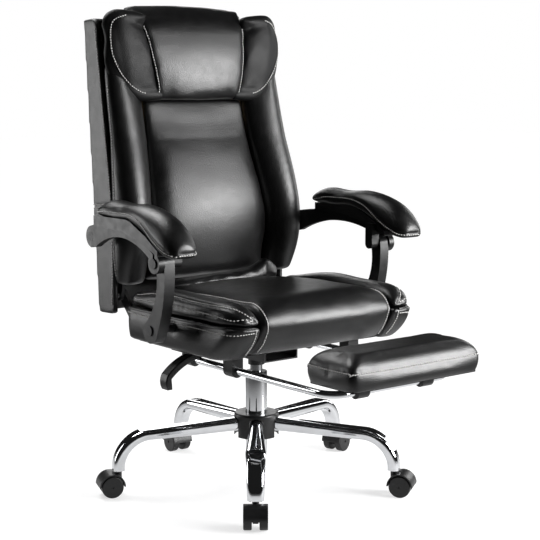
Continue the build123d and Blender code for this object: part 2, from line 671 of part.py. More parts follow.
def seat_panel_section(x, crown, nose):
    # Side profile of the centre panel: rear, crowned top, rounded nose and front lip
    floor = BASE_TOP + SOFT_GAP
    front_y = NOSE_FRONT + nose
    with BuildSketch(side_plane(x)) as section:
        with BuildLine():
            rear = Line((CUSHION_REAR, floor), (CUSHION_REAR, BASE_TOP + 0.7 * CUSHION_RISE - crown))
            top = ThreePointArc(rear @ 1, (-0.65 * NOSE_DEPTH, SEAT_CREST - 0.04 * CUSHION_RISE - crown),
                                (NOSE_FRONT + NOSE_DEPTH, SEAT_CREST - crown))
            front = ThreePointArc(top @ 1,
                                  (front_y + 0.27 * NOSE_DEPTH, BASE_TOP + 0.58 * CUSHION_RISE - crown / 2),
                                  (front_y, BASE_TOP - 0.05 * BASE_HEIGHT))
            lip = ThreePointArc(front @ 1, (front_y + 0.4 * NOSE_DEPTH, SEAT_BOTTOM + 0.41 * BASE_HEIGHT),
                                (NOSE_FOOT, SEAT_BOTTOM + SIDE_GAP))
            foot = Line(lip @ 1, (NOSE_FOOT + LIP_DEPTH, SEAT_BOTTOM + SIDE_GAP))
            inner = Line(foot @ 1, (NOSE_FOOT + LIP_DEPTH, floor))
            Line(inner @ 1, rear @ 0)
        make_face()
    return section.sketch


with BuildPart() as seat_cushion:
    loft([seat_panel_section(-PANEL_HALF, SEAT_CROWN, SEAT_CROWN),
          seat_panel_section(0, 0, 0),
          seat_panel_section(PANEL_HALF, SEAT_CROWN, SEAT_CROWN)])
save(seat_cushion, "seat_cushion")

# Seat bolster stations from the rear: share of its length, of the cushion's rise and of its own width
SEAT_BOLSTER_STATIONS = (
    (0, 0.68, 0.81),
    (0.22, 0.92, 0.96),
    (0.56, 1.04, 0.985),
    (0.82, 1, 0.97),
    (0.95, 0.72, 0.81),
    (1, 0.28, 0.54),
)

with BuildPart() as seat_bolster_left:
    inner_x = PANEL_HALF + 2 * SOFT_GAP
    floor_z = BASE_TOP + SOFT_GAP
    bolster_length = CUSHION_REAR - NOSE_FRONT - 0.27 * NOSE_DEPTH
    for length_share, rise_share, width_share in SEAT_BOLSTER_STATIONS:
        y = CUSHION_REAR - length_share * bolster_length
        rise = rise_share * CUSHION_RISE
        width = width_share * (SEAT_HALF - PANEL_HALF)
        with BuildSketch(Plane(origin=(0, y, 0), x_dir=(1, 0, 0), z_dir=(0, -1, 0))):
            with BuildLine():
                foot = Line((inner_x, floor_z), (inner_x + width - BOLSTER_TUCK, floor_z))
                flank = ThreePointArc(foot @ 1, (inner_x + width, floor_z + 0.42 * rise),
                                      (inner_x + 0.72 * width, floor_z + 0.93 * rise))
                crown = ThreePointArc(flank @ 1, (inner_x + 0.42 * width, floor_z + rise),
                                      (inner_x, floor_z + 0.7 * rise))
                Line(crown @ 1, foot @ 0)
            make_face()
    loft()
save(seat_bolster_left, "seat_bolster_left")

with BuildPart() as seat_bolster_right:
    mirror(seat_bolster_left.part, about=Plane.YZ)
save(seat_bolster_right, "seat_bolster_right")

# Recline hinge: seat brackets rise behind the seat to the pins, ears hang from the back board

with BuildPart() as recline_brackets:
    run_z = SEAT_BOTTOM - BRACKET_DEPTH
    for side in (-1, 1):
        with BuildSketch(side_plane(side * BRACKET_X - HINGE_PLATE / 2)):
            with BuildLine():
                Polyline((BRACKET_FRONT_Y, SEAT_BOTTOM), (BRACKET_FRONT_Y, run_z),
                         (BRACKET_HEEL_Y + BRACKET_BEND, run_z),
                         (HINGE_Y + 0.76 * HINGE_EYE, HINGE_Z - 0.65 * HINGE_EYE),
                         (HINGE_Y - 0.76 * HINGE_EYE, HINGE_Z + 0.65 * HINGE_EYE),
                         (BRACKET_HEEL_Y - BRACKET_BEND, SEAT_BOTTOM), close=True)
            make_face()
            with Locations((HINGE_Y, HINGE_Z)):
                Circle(HINGE_EYE)
                Circle(HINGE_PIN_RADIUS + RUNNING_GAP, mode=Mode.SUBTRACT)
        extrude(amount=HINGE_PLATE)
        with BuildSketch(Plane.XY.offset(SEAT_BOTTOM)):
            with Locations((side * (BRACKET_X - HINGE_PLATE / 2 - BRACKET_FLANGE / 2),
                            (BRACKET_FRONT_Y + BOARD_REAR) / 2)):
                Rectangle(BRACKET_FLANGE + HINGE_PLATE, BOARD_REAR - BRACKET_FRONT_Y)
        extrude(amount=-PLATE_THICKNESS)
save(recline_brackets, "recline_brackets")

EAR_X = BRACKET_X + HINGE_PLATE + SIDE_GAP

with BuildPart() as recline_ears:
    for side in (-1, 1):
        with BuildSketch(back_side(side * EAR_X - HINGE_PLATE / 2)):
            with BuildLine():
                Polyline((HINGE_H, HINGE_D - HINGE_EYE), (EAR_TOP, HINGE_D), (EAR_TOP, BACK_BOARD_DEPTH),
                         (BACK_BOARD_FOOT, BACK_BOARD_DEPTH), (HINGE_H, HINGE_D + HINGE_EYE), close=True)
            make_face()
            with Locations((HINGE_H, HINGE_D)):
                Circle(HINGE_EYE)
                Circle(HINGE_PIN_RADIUS + RUNNING_GAP, mode=Mode.SUBTRACT)
        extrude(amount=HINGE_PLATE)
save(recline_ears, "recline_ears")

with BuildPart() as recline_pins:
    for side in (-1, 1):
        with BuildSketch(side_plane(side * (BRACKET_X - HINGE_PLATE))):
            with Locations((HINGE_Y, HINGE_Z)):
                Circle(HINGE_PIN_RADIUS)
        extrude(amount=side * (EAR_X - BRACKET_X + 2 * HINGE_PLATE))
save(recline_pins, "recline_pins")

# Back

with BuildPart() as back_shell:
    with BuildSketch(back_side(-SHELL_HALF)):
        with BuildLine():
            rear = Line((SHELL_HEIGHT, 0), (0, 0))
            foot = Line(rear @ 1, (0, BAND_FOOT))
            waist = ThreePointArc(foot @ 1,
                                  (WAIST_HEIGHT / 2, (BAND_FOOT + BAND_WAIST) / 2 + 0.75 * BAND_BULGE),
                                  (WAIST_HEIGHT, BAND_WAIST))
            chest_h = (WAIST_HEIGHT + SHELL_HEIGHT) / 2
            chest = ThreePointArc(waist @ 1, (chest_h, (BAND_WAIST + BAND_TOP) / 2 - BAND_BULGE),
                                  (SHELL_HEIGHT - SHELL_TOP_ROUND, BAND_TOP))
            shoulder = 0.29 * SHELL_TOP_ROUND
            crown = ThreePointArc(chest @ 1, (SHELL_HEIGHT - shoulder, BAND_TOP - shoulder),
                                  (SHELL_HEIGHT, BAND_TOP - SHELL_TOP_ROUND))
            Line(crown @ 1, rear @ 0)
        make_face()
    extrude(amount=2 * SHELL_HALF)
    with BuildSketch(back_side(-SHELL_HALF + SHELL_WALL)):
        with Locations((-SHELL_WALL, SHELL_PANEL)):
            Rectangle(SHELL_HEIGHT, 2 * BAND_WAIST, align=(Align.MIN, Align.MIN))
    extrude(amount=2 * (SHELL_HALF - SHELL_WALL), mode=Mode.SUBTRACT)
    with BuildSketch(back_side(-SHELL_HALF)):
        with Locations((REAR_PIVOT_H, REAR_PIVOT_D)):
            Circle(REAR_PIN_RADIUS + RUNNING_GAP)
    extrude(amount=2 * SHELL_HALF, mode=Mode.SUBTRACT)
save(back_shell, "back_shell")

with BuildPart() as back_board:
    board_plane = Plane(origin=BACK_FOOT + BACK_FRONT * BACK_BOARD_DEPTH, x_dir=(1, 0, 0), z_dir=BACK_FRONT)
    with BuildSketch(board_plane):
        with Locations((0, (BACK_BOARD_FOOT + BACK_BOARD_TOP) / 2)):
            RectangleRounded(2 * BACK_BOARD_HALF, BACK_BOARD_TOP - BACK_BOARD_FOOT, BACK_BOARD_CORNER)
    extrude(amount=BACK_BOARD_THICKNESS)
save(back_board, "back_board")

CUSHION_BACK = BACK_BOARD_DEPTH + BACK_BOARD_THICKNESS + SOFT_GAP


def even_heights(foot, top, stations):
    # One height per station, evenly spaced from foot to top
    return [foot + k * (top - foot) / (len(stations) - 1) for k in range(len(stations))]


# Centre panel stations, evenly spaced up the back: half width, edge depth, crown depth
PANEL_STATIONS = (
    (174, 98, 118),
    (174, 124, 141),
    (171, 132, 149),
    (161, 118, 133),
    (151, 96, 108),
    (144, 78, 84),
)

# Bolster stations, evenly spaced up the back: inner half width, inner depth, front depth, reach past shell
BOLSTER_STATIONS = (
    (175, 94, 124, 1),
    (175, 120, 155, 13),
    (173, 132, 171, 15),
    (167, 125, 165, 12),
    (158, 108, 148, 7),
    (150, 92, 126, 1),
    (146, 78, 98, -3),
)


def back_panel_section(h, half, edge, crown):
    # Centre panel across the back: flat rear, straight sides and a crowned front
    with BuildSketch(back_level(h)) as section:
        with BuildLine():
            rear = Line((-half, CUSHION_BACK), (half, CUSHION_BACK))
            right = Line(rear @ 1, (half, edge))
            front = ThreePointArc(right @ 1, (0, crown), (-half, edge))
            Line(front @ 1, rear @ 0)
        make_face()
    return section.sketch


with BuildPart() as back_cushion:
    heights = even_heights(CUSHION_FOOT, HEADREST_FOOT - PANEL_TOP_GAP, PANEL_STATIONS)
    loft([back_panel_section(h, *station) for h, station in zip(heights, PANEL_STATIONS)])
save(back_cushion, "back_cushion")


def band_depth(h):
    # Depth of the shell's side band at height h, with its bulge at the waist
    if h < WAIST_HEIGHT:
        share = h / WAIST_HEIGHT
        return BAND_FOOT + (BAND_WAIST - BAND_FOOT) * share + BAND_BULGE
    share = (h - WAIST_HEIGHT) / (SHELL_HEIGHT - WAIST_HEIGHT)
    return BAND_WAIST + (BAND_TOP - BAND_WAIST) * share + BAND_BULGE


def back_bolster_section(h, inner, edge, front, past_shell):
    # Bolster across the back: set into the shell, swelling out over the band to a rounded front
    outer = SHELL_HALF + past_shell
    rim = SHELL_HALF - SHELL_WALL - SOFT_GAP
    lip = band_depth(h)
    ridge = inner + 0.52 * (outer - inner)
    with BuildSketch(back_level(h)) as section:
        with BuildLine():
            rear = Line((inner, CUSHION_BACK), (rim, CUSHION_BACK))
            wall = Line(rear @ 1, (rim, lip))
            ledge = Line(wall @ 1, (min(outer, SHELL_HALF) - SHELL_WALL / 4, lip))
            flank = ThreePointArc(ledge @ 1, (outer, lip + 0.45 * (front - lip)), (ridge, front))
            crease = ThreePointArc(flank @ 1, (inner + 0.22 * (outer - inner), edge + 0.72 * (front - edge)),
                                   (inner, edge))
            Line(crease @ 1, rear @ 0)
        make_face()
    return section.sketch


with BuildPart() as back_bolster_left:
    heights = even_heights(CUSHION_FOOT, BOLSTER_HEAD, BOLSTER_STATIONS)
    loft([back_bolster_section(h, *station) for h, station in zip(heights, BOLSTER_STATIONS)])
    with BuildSketch(back_side(SHELL_HALF)):
        with Locations((REAR_PIVOT_H, CUSHION_BACK)):
            Rectangle(ARM_BRACKET_LENGTH + 2 * SOFT_GAP, PIN_PLATE_FRONT - CUSHION_BACK + SOFT_GAP,
                      align=(Align.CENTER, Align.MIN))
    extrude(amount=-(SHELL_WALL + ARM_PLATE + SOFT_GAP), mode=Mode.SUBTRACT)
save(back_bolster_left, "back_bolster_left")

with BuildPart() as back_bolster_right:
    mirror(back_bolster_left.part, about=Plane.YZ)
save(back_bolster_right, "back_bolster_right")

# Headrest: a slanted-sided centre pillow over the top of the back, with a wing on each side

HEADREST_HEIGHT = HEADREST_TOP - HEADREST_FOOT
HEADREST_SLANT = atan2(HEADREST_TOP_HALF - HEADREST_FOOT_HALF, HEADREST_HEIGHT)


def headrest_plane(side, shift):
    # Plane of a slanted seam, along it from the headrest's foot and in depth d; side 0 is the middle
    foot = BACK_FOOT + BACK_UP * HEADREST_FOOT + Vector(side * (HEADREST_FOOT_HALF + shift), 0, 0)
    slant = side * HEADREST_SLANT
    along = BACK_UP * cos(slant) + Vector(sin(slant), 0, 0)
    return Plane(origin=foot, x_dir=along, z_dir=along.cross(BACK_FRONT))


def headrest_section(side, sink):
    # Profile up the front, over the shell's top and down again, drawn lower by sink at the seams
    stretch = 1 / cos(side * HEADREST_SLANT)
    length = HEADREST_HEIGHT * stretch
    shell_top = (SHELL_HEIGHT - HEADREST_FOOT + SOFT_GAP) * stretch
    shelf = BAND_TOP + BAND_BULGE
    front = HEADREST_DEPTH - sink
    with BuildSketch(headrest_plane(side, 0)) as section:
        with BuildLine():
            foot = Line((0, CUSHION_BACK), (sink / 2, front - HEADREST_SINK))
            chin = ThreePointArc(foot @ 1, (0.26 * length, front),
                                 (0.62 * length, front - 0.08 * HEADREST_DEPTH))
            brow = ThreePointArc(chin @ 1, (0.85 * length, front - 0.265 * HEADREST_DEPTH),
                                 (length - sink, 0.8 * BAND_TOP))
            crown = ThreePointArc(brow @ 1, (length - sink - HEADREST_SINK, 0.4 * BAND_TOP),
                                  (shell_top + HEADREST_SINK, HEADREST_OVERLAP))
            heel = Line(crown @ 1, (shell_top, HEADREST_OVERLAP))
            ledge = Line(heel @ 1, (shell_top, shelf))
            step = Line(ledge @ 1, (shell_top - 2 * SHELL_TOP_ROUND, shelf))
            Line(step @ 1, foot @ 0)
        make_face()
    return section.sketch


with BuildPart() as headrest_cushion:
    loft([headrest_section(-1, HEADREST_SINK), headrest_section(0, 0), headrest_section(1, HEADREST_SINK)])
save(headrest_cushion, "headrest_cushion")


def wing_section(plane, foot_share, top_share, front_share, swell_share):
    # Pillow profile from foot to top along the plane, flat at the rear and swelling to the front
    foot = foot_share * HEADREST_HEIGHT
    top = top_share * HEADREST_HEIGHT
    front = front_share * HEADREST_DEPTH
    corner = 0.12 * (top - foot)
    middle = (WING_REAR + front) / 2
    with BuildSketch(plane) as section:
        with BuildLine():
            back = Line((top, WING_REAR), (foot, WING_REAR))
            lower = ThreePointArc(back @ 1, (foot - 0.2 * corner, middle), (foot + corner, front))
            face = ThreePointArc(lower @ 1, ((foot + top) / 2, front + swell_share * HEADREST_DEPTH),
                                 (top - corner, front))
            ThreePointArc(face @ 1, (top + 0.2 * corner, middle), back @ 0)
        make_face()
    return section.sketch


def wing_plane(x):
    return Plane(origin=BACK_FOOT + BACK_UP * HEADREST_FOOT + Vector(x, 0, 0), x_dir=BACK_UP, z_dir=(1, 0, 0))


# Wing stations from the headrest outwards: foot and top as shares of its height, front and swell of its depth
WING_STATIONS = (
    (headrest_plane(1, 2 * SOFT_GAP), 0.05, 0.89, 0.87, 0.05),
    (wing_plane((HEADREST_TOP_HALF + WING_HALF) / 2), 0.12, 0.9, 0.92, 0.09),
    (wing_plane(WING_HALF - WING_TIP), 0.27, 0.85, 0.9, 0.07),
    (wing_plane(WING_HALF), 0.38, 0.76, 0.83, 0.035),
)

with BuildPart() as headrest_wing_left:
    loft([wing_section(*station) for station in WING_STATIONS])
save(headrest_wing_left, "headrest_wing_left")

with BuildPart() as headrest_wing_right:
    mirror(headrest_wing_left.part, about=Plane.YZ)
save(headrest_wing_right, "headrest_wing_right")

# Armrests, drawn on the chair's right side and mirrored to the left

BAR_OUTER = POST_OUTER + SIDE_GAP + BAR_THICKNESS
BAR_LENGTH = hypot(REAR_PIVOT_Y - KNUCKLE_Y, BAR_TOE_IN)
BAR_REACH = Vector(BAR_TOE_IN, REAR_PIVOT_Y - KNUCKLE_Y, 0).normalized()

PAD_LENGTH = PAD_REAR_Y - PAD_TIP_Y

# Pad stations from the rear: share of its length, underside and top as shares of its drop, share of its width
PAD_STATIONS = (
    (0, 0.33, 0.16, 0.68),
    (0.06, 0.34, 0.04, 0.93),
    (0.215, 0.34, 0, 1),
    (0.49, 0.34, 0, 1.02),
    (0.645, 0.54, 0.02, 1.04),
    (0.765, 0.78, 0.11, 1.02),
    (0.89, 0.96, 0.31, 0.98),
    (0.97, 1, 0.58, 0.8),
    (1, 0.96, 0.72, 0.54),
)


def pad_y(share):
    # Place along the pad from its rear end
    return PAD_REAR_Y - share * PAD_LENGTH


def pad_z(share):
    # Level below the pad's top
    return PAD_TOP - share * PAD_DROP


def pad_section(length_share, under_share, top_share, width_share):
    # Across the pad: flat underside, rounded flanks and a crowned top
    y = pad_y(length_share)
    under = pad_z(under_share)
    top = pad_z(top_share)
    centre = -PAD_CENTRE + (y - KNUCKLE_Y) * PAD_TOE_IN / (PAD_REAR_Y - KNUCKLE_Y)
    half = width_share * PAD_WIDTH / 2
    shoulder = under + 0.62 * (top - under)
    with BuildSketch(Plane(origin=(centre, y, 0), x_dir=(1, 0, 0), z_dir=(0, -1, 0))) as section:
        with BuildLine():
            sole = Line((-0.88 * half, under), (0.88 * half, under))
            inner = ThreePointArc(sole @ 1, (half, (under + shoulder) / 2), (0.9 * half, shoulder))
            crown = ThreePointArc(inner @ 1, (0, top), (-0.9 * half, shoulder))
            ThreePointArc(crown @ 1, (-half, (under + shoulder) / 2), sole @ 0)
        make_face()
    return section.sketch


with BuildPart() as arm_pad_right:
    loft([pad_section(*station) for station in PAD_STATIONS])
save(arm_pad_right, "arm_pad_right")

with BuildPart() as arm_bar_right:
    bar_plane = Plane(origin=(-BAR_OUTER - BAR_TOE_IN * BAR_EYE / BAR_LENGTH, KNUCKLE_Y, 0),
                      x_dir=BAR_REACH, z_dir=BAR_REACH.cross(Vector(0, 0, 1)))
    with BuildSketch(bar_plane):
        with BuildLine():
            top = ThreePointArc((0, KNUCKLE_Z + BAR_EYE), (0.46 * BAR_LENGTH, KNUCKLE_Z + BAR_ARCH),
                                (BAR_LENGTH, REAR_PIVOT_Z + BAR_BOSS))
            rear = Line(top @ 1, (BAR_LENGTH, REAR_PIVOT_Z - BAR_BOSS))
            heel = Line(rear @ 1, (BAR_LENGTH - BAR_BOSS, REAR_PIVOT_Z - 0.84 * BAR_BOSS))
            under = ThreePointArc(heel @ 1, (0.5 * BAR_LENGTH, KNUCKLE_Z + BAR_ARCH - BAR_HEIGHT),
                                  (0, KNUCKLE_Z))
            Line(under @ 1, top @ 0)
        make_face()
    extrude(amount=BAR_THICKNESS)
    with BuildSketch(side_plane(-BAR_OUTER)):
        with Locations((KNUCKLE_Y, KNUCKLE_Z)):
            Circle(BAR_EYE)
    extrude(amount=BAR_THICKNESS)
    with BuildSketch(side_plane(-BAR_OUTER + BAR_TOE_IN)):
        with Locations((REAR_PIVOT_Y, REAR_PIVOT_Z)):
            Circle(BAR_BOSS)
    extrude(amount=BAR_THICKNESS)
    with BuildSketch(side_plane(-PAD_CENTRE - TRAY_WIDTH / 2)):
        with BuildLine():
            sole = ThreePointArc((pad_y(0.81), pad_z(0.98)), (pad_y(0.61), pad_z(0.74)),
                                 (pad_y(0.37), pad_z(0.56)))
            tail = Line(sole @ 1, (pad_y(0.04), pad_z(0.52)))
            end = Line(tail @ 1, (pad_y(0.04), pad_z(0.3)))
            deck = Line(end @ 1, (pad_y(0.47), pad_z(0.3)))
            slope = Line(deck @ 1, (pad_y(0.81), pad_z(0.8)))
            Line(slope @ 1, sole @ 0)
        make_face()
    extrude(amount=TRAY_WIDTH)
    with BuildSketch(side_plane(-POST_OUTER + POST_WIDTH + SIDE_GAP)):
        with Locations((KNUCKLE_Y, KNUCKLE_Z)):
            Circle(LUG_RADIUS)
        with Locations((KNUCKLE_Y, KNUCKLE_Z)):
            Rectangle(2 * LUG_RADIUS, pad_z(0.7) - KNUCKLE_Z, align=(Align.CENTER, Align.MIN))
    extrude(amount=LUG_WIDTH)
    add(arm_pad_right.part, mode=Mode.SUBTRACT)
    with BuildSketch(side_plane(-PAD_CENTRE - PAD_WIDTH)):
        with Locations((KNUCKLE_Y, KNUCKLE_Z)):
            Circle(ARM_PIN_RADIUS + RUNNING_GAP)
    extrude(amount=2 * PAD_WIDTH, mode=Mode.SUBTRACT)
    with BuildSketch(side_plane(-PAD_CENTRE - PAD_WIDTH)):
        with Locations((REAR_PIVOT_Y, REAR_PIVOT_Z)):
            Circle(REAR_PIN_RADIUS + OPEN_PIVOT_GAP)
    extrude(amount=2 * PAD_WIDTH, mode=Mode.SUBTRACT)
    for cap_x, cap_y, cap_z in ((-BAR_OUTER, KNUCKLE_Y, KNUCKLE_Z),
                                (-BAR_OUTER + BAR_TOE_IN, REAR_PIVOT_Y, REAR_PIVOT_Z)):
        with BuildSketch(side_plane(cap_x)):
            with Locations((cap_y, cap_z)):
                Circle(ARM_CAP_RADIUS + SIDE_GAP)
        extrude(amount=-BAR_THICKNESS, mode=Mode.SUBTRACT)
    with BuildSketch(side_plane(-POST_OUTER - SIDE_GAP)):
        with Locations((KNUCKLE_Y, KNUCKLE_Z)):
            Circle(POST_EYE + 2 * SIDE_GAP)
    extrude(amount=POST_WIDTH + 2 * SIDE_GAP, mode=Mode.SUBTRACT)
save(arm_bar_right, "arm_bar_right")

with BuildPart() as arm_post_right:
    post_length = KNUCKLE_Z - POST_PIVOT_Z
    with BuildSketch(side_plane(-POST_OUTER)):
        with BuildLine():
            front = ThreePointArc((KNUCKLE_Y - POST_EYE, KNUCKLE_Z),
                                  (KNUCKLE_Y - 0.76 * POST_EYE, KNUCKLE_Z - 0.48 * post_length),
                                  (POST_PIVOT_Y - 0.93 * POST_BOSS, POST_PIVOT_Z - 0.29 * POST_BOSS))
            sole = ThreePointArc(front @ 1, (POST_PIVOT_Y, POST_PIVOT_Z - POST_BOSS),
                                 (POST_PIVOT_Y + 0.93 * POST_BOSS, POST_PIVOT_Z + 0.29 * POST_BOSS))
            rear = ThreePointArc(sole @ 1, (KNUCKLE_Y + 1.4 * POST_EYE, KNUCKLE_Z - 0.6 * post_length),
                                 (KNUCKLE_Y + POST_EYE, KNUCKLE_Z))
            Line(rear @ 1, front @ 0)
        make_face()
        with Locations((KNUCKLE_Y, KNUCKLE_Z)):
            Circle(POST_EYE)
            Circle(ARM_PIN_RADIUS + RUNNING_GAP, mode=Mode.SUBTRACT)
        with Locations((POST_PIVOT_Y, POST_PIVOT_Z)):
            Circle(POST_PIN_RADIUS + RUNNING_GAP, mode=Mode.SUBTRACT)
    extrude(amount=POST_WIDTH)
save(arm_post_right, "arm_post_right")

with BuildPart() as arm_pin_right:
    pin_end = -POST_OUTER + POST_WIDTH + SIDE_GAP + LUG_WIDTH
    with BuildSketch(side_plane(-BAR_OUTER)):
        with Locations((KNUCKLE_Y, KNUCKLE_Z)):
            Circle(ARM_PIN_RADIUS)
    extrude(amount=BAR_OUTER + pin_end)
    with BuildSketch(side_plane(-BAR_OUTER)):
        with Locations((KNUCKLE_Y, KNUCKLE_Z)):
            Circle(ARM_CAP_RADIUS)
    extrude(amount=-ARM_CAP)
save(arm_pin_right, "arm_pin_right")

for source, name in ((arm_pad_right, "arm_pad_left"), (arm_bar_right, "arm_bar_left"),
                     (arm_post_right, "arm_post_left"), (arm_pin_right, "arm_pin_left")):
    with BuildPart() as left_piece:
        mirror(source.part, about=Plane.YZ)
    save(left_piece, name)

# Arm mountings: angle brackets with studs under the seat, plates with studs inside the back shell

with BuildPart() as arm_brackets:
    for side in (-1, 1):
        with BuildSketch(side_plane(side * ARM_BRACKET_X)):
            with Locations((POST_PIVOT_Y, SEAT_BOTTOM - PLATE_THICKNESS)):
                Rectangle(ARM_BRACKET_LENGTH, POST_PIVOT_Z + ARM_BRACKET_RISE - SEAT_BOTTOM + PLATE_THICKNESS,
                          align=(Align.CENTER, Align.MIN))
        extrude(amount=side * ARM_PLATE)
        with BuildSketch(Plane.XY.offset(SEAT_BOTTOM - PLATE_THICKNESS)):
            with Locations((side * (ARM_BRACKET_X - ARM_FOOT / 2), POST_PIVOT_Y)):
                Rectangle(ARM_FOOT + ARM_PLATE, ARM_BRACKET_LENGTH)
        extrude(amount=PLATE_THICKNESS)
        with BuildSketch(side_plane(side * ARM_BRACKET_X)):
            with Locations((POST_PIVOT_Y, POST_PIVOT_Z)):
                Circle(POST_PIN_RADIUS)
        extrude(amount=side * (POST_OUTER - ARM_BRACKET_X))
        with BuildSketch(side_plane(side * POST_OUTER)):
            with Locations((POST_PIVOT_Y, POST_PIVOT_Z)):
                Circle(ARM_CAP_RADIUS)
        extrude(amount=side * ARM_CAP)
save(arm_brackets, "arm_brackets")

with BuildPart() as arm_rear_pins:
    plate_x = SHELL_HALF - SHELL_WALL
    for side in (-1, 1):
        with BuildSketch(back_side(side * plate_x)):
            with Locations((REAR_PIVOT_H, SHELL_PANEL)):
                Rectangle(ARM_BRACKET_LENGTH, PIN_PLATE_FRONT - SHELL_PANEL, align=(Align.CENTER, Align.MIN))
        extrude(amount=-side * ARM_PLATE)
        with BuildSketch(side_plane(side * plate_x)):
            with Locations((REAR_PIVOT_Y, REAR_PIVOT_Z)):
                Circle(REAR_PIN_RADIUS)
        extrude(amount=side * (BAR_OUTER - BAR_TOE_IN - plate_x))
        with BuildSketch(side_plane(side * (BAR_OUTER - BAR_TOE_IN + SIDE_GAP))):
            with Locations((REAR_PIVOT_Y, REAR_PIVOT_Z)):
                Circle(ARM_CAP_RADIUS)
        extrude(amount=side * ARM_CAP)
        with BuildSketch(side_plane(side * (BAR_OUTER - BAR_TOE_IN))):
            with Locations((REAR_PIVOT_Y, REAR_PIVOT_Z)):
                Circle(REAR_PIN_RADIUS)
        extrude(amount=side * SIDE_GAP)
save(arm_rear_pins, "arm_rear_pins")

# Footrest: bent tube in guides under the seat, with the pad clipped to its cross bar

with BuildPart() as footrest_frame:
    with BuildLine():
        FilletPolyline((-REST_ROD_HALF, REST_ROD_END_Y, REST_ROD_Z), (-REST_ROD_HALF, REST_BAR_Y, REST_ROD_Z),
                       (REST_ROD_HALF, REST_BAR_Y, REST_ROD_Z), (REST_ROD_HALF, REST_ROD_END_Y, REST_ROD_Z),
                       radius=REST_BEND)
    rod_end = Plane(origin=(-REST_ROD_HALF, REST_ROD_END_Y, REST_ROD_Z), x_dir=(1, 0, 0), z_dir=(0, -1, 0))
    with BuildSketch(rod_end):
        Circle(REST_ROD_RADIUS)
        Circle(REST_ROD_RADIUS - REST_ROD_WALL, mode=Mode.SUBTRACT)
    sweep()
save(footrest_frame, "footrest_frame")

GUIDE_HEIGHT = SEAT_BOTTOM - REST_ROD_Z

with BuildPart() as footrest_guides:
    for y in (GUIDE_FRONT_Y, GUIDE_REAR_Y):
        guide_end = Plane(origin=(0, y - GUIDE_LENGTH / 2, REST_ROD_Z), x_dir=(-1, 0, 0), z_dir=(0, 1, 0))
        with BuildSketch(guide_end):
            with Locations((-REST_ROD_HALF, 0), (REST_ROD_HALF, 0)):
                Rectangle(GUIDE_WIDTH, GUIDE_HEIGHT, align=(Align.CENTER, Align.MIN))
                Circle(GUIDE_WIDTH / 2)
                Circle(REST_ROD_RADIUS + RUNNING_GAP, mode=Mode.SUBTRACT)
        extrude(amount=GUIDE_LENGTH)
save(footrest_guides, "footrest_guides")

with BuildPart() as clip_form:
    with BuildSketch(side_plane(0)):
        with Locations((REST_BAR_Y, REST_ROD_Z)):
            Circle(CLIP_DEPTH / 2)
            Rectangle(CLIP_DEPTH, REST_PAD_BOTTOM - REST_ROD_Z, align=(Align.CENTER, Align.MIN))
            Circle(REST_ROD_RADIUS + RUNNING_GAP, mode=Mode.SUBTRACT)
    extrude(amount=CLIP_WIDTH / 2, both=True)

with BuildPart() as footrest_clips:
    with Locations((-CLIP_X, 0, 0), (CLIP_X, 0, 0)):
        add(clip_form.part)
save(footrest_clips, "footrest_clips")

with BuildPart() as footrest_board:
    with BuildSketch(Plane.XY.offset(REST_PAD_BOTTOM)):
        with Locations((0, REST_PAD_Y)):
            Rectangle(2 * (REST_PAD_HALF - REST_BOARD_INSET), REST_PAD_DEPTH - 2 * REST_BOARD_INSET)
    extrude(amount=REST_BOARD)
save(footrest_board, "footrest_board")

# Footrest pad stations: height over the underside, inset of the outline
REST_PAD_STATIONS = (
    (0, 0.125 * REST_PAD_CROWN),
    (0.4 * REST_PAD_SEAM, 0),
    (REST_PAD_SEAM, 0.05 * REST_PAD_CROWN),
    (0.5 * (REST_PAD_SEAM + REST_PAD_HEIGHT), 0.225 * REST_PAD_CROWN),
    (REST_PAD_HEIGHT, REST_PAD_CROWN),
)

with BuildPart() as footrest_pad:
    for rise, inset in REST_PAD_STATIONS:
        with BuildSketch(Plane.XY.offset(REST_PAD_BOTTOM + rise)):
            with Locations((0, REST_PAD_Y)):
                RectangleRounded(2 * (REST_PAD_HALF - inset), REST_PAD_DEPTH - 2 * inset, REST_PAD_CORNER)
    loft()
    with BuildSketch(Plane.XY.offset(REST_PAD_BOTTOM)):
        with Locations((0, REST_PAD_Y)):
            Rectangle(2 * (REST_PAD_HALF - REST_BOARD_INSET + SOFT_GAP),
                      REST_PAD_DEPTH - 2 * (REST_BOARD_INSET - SOFT_GAP))
    extrude(amount=REST_BOARD + SOFT_GAP, mode=Mode.SUBTRACT)
save(footrest_pad, "footrest_pad")
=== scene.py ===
import json
from math import cos, pi, radians, sin

import bmesh
import bpy
import numpy as np
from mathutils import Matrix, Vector, noise
from mathutils.bvhtree import BVHTree


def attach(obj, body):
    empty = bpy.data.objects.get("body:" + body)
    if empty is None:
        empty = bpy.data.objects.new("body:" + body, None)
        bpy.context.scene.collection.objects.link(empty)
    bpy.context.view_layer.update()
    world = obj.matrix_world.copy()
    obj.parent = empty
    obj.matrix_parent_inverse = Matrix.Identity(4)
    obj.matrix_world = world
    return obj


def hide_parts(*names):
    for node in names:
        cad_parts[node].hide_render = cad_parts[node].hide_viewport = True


# Reclining office chair: upholstery, thread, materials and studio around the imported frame, in metres.

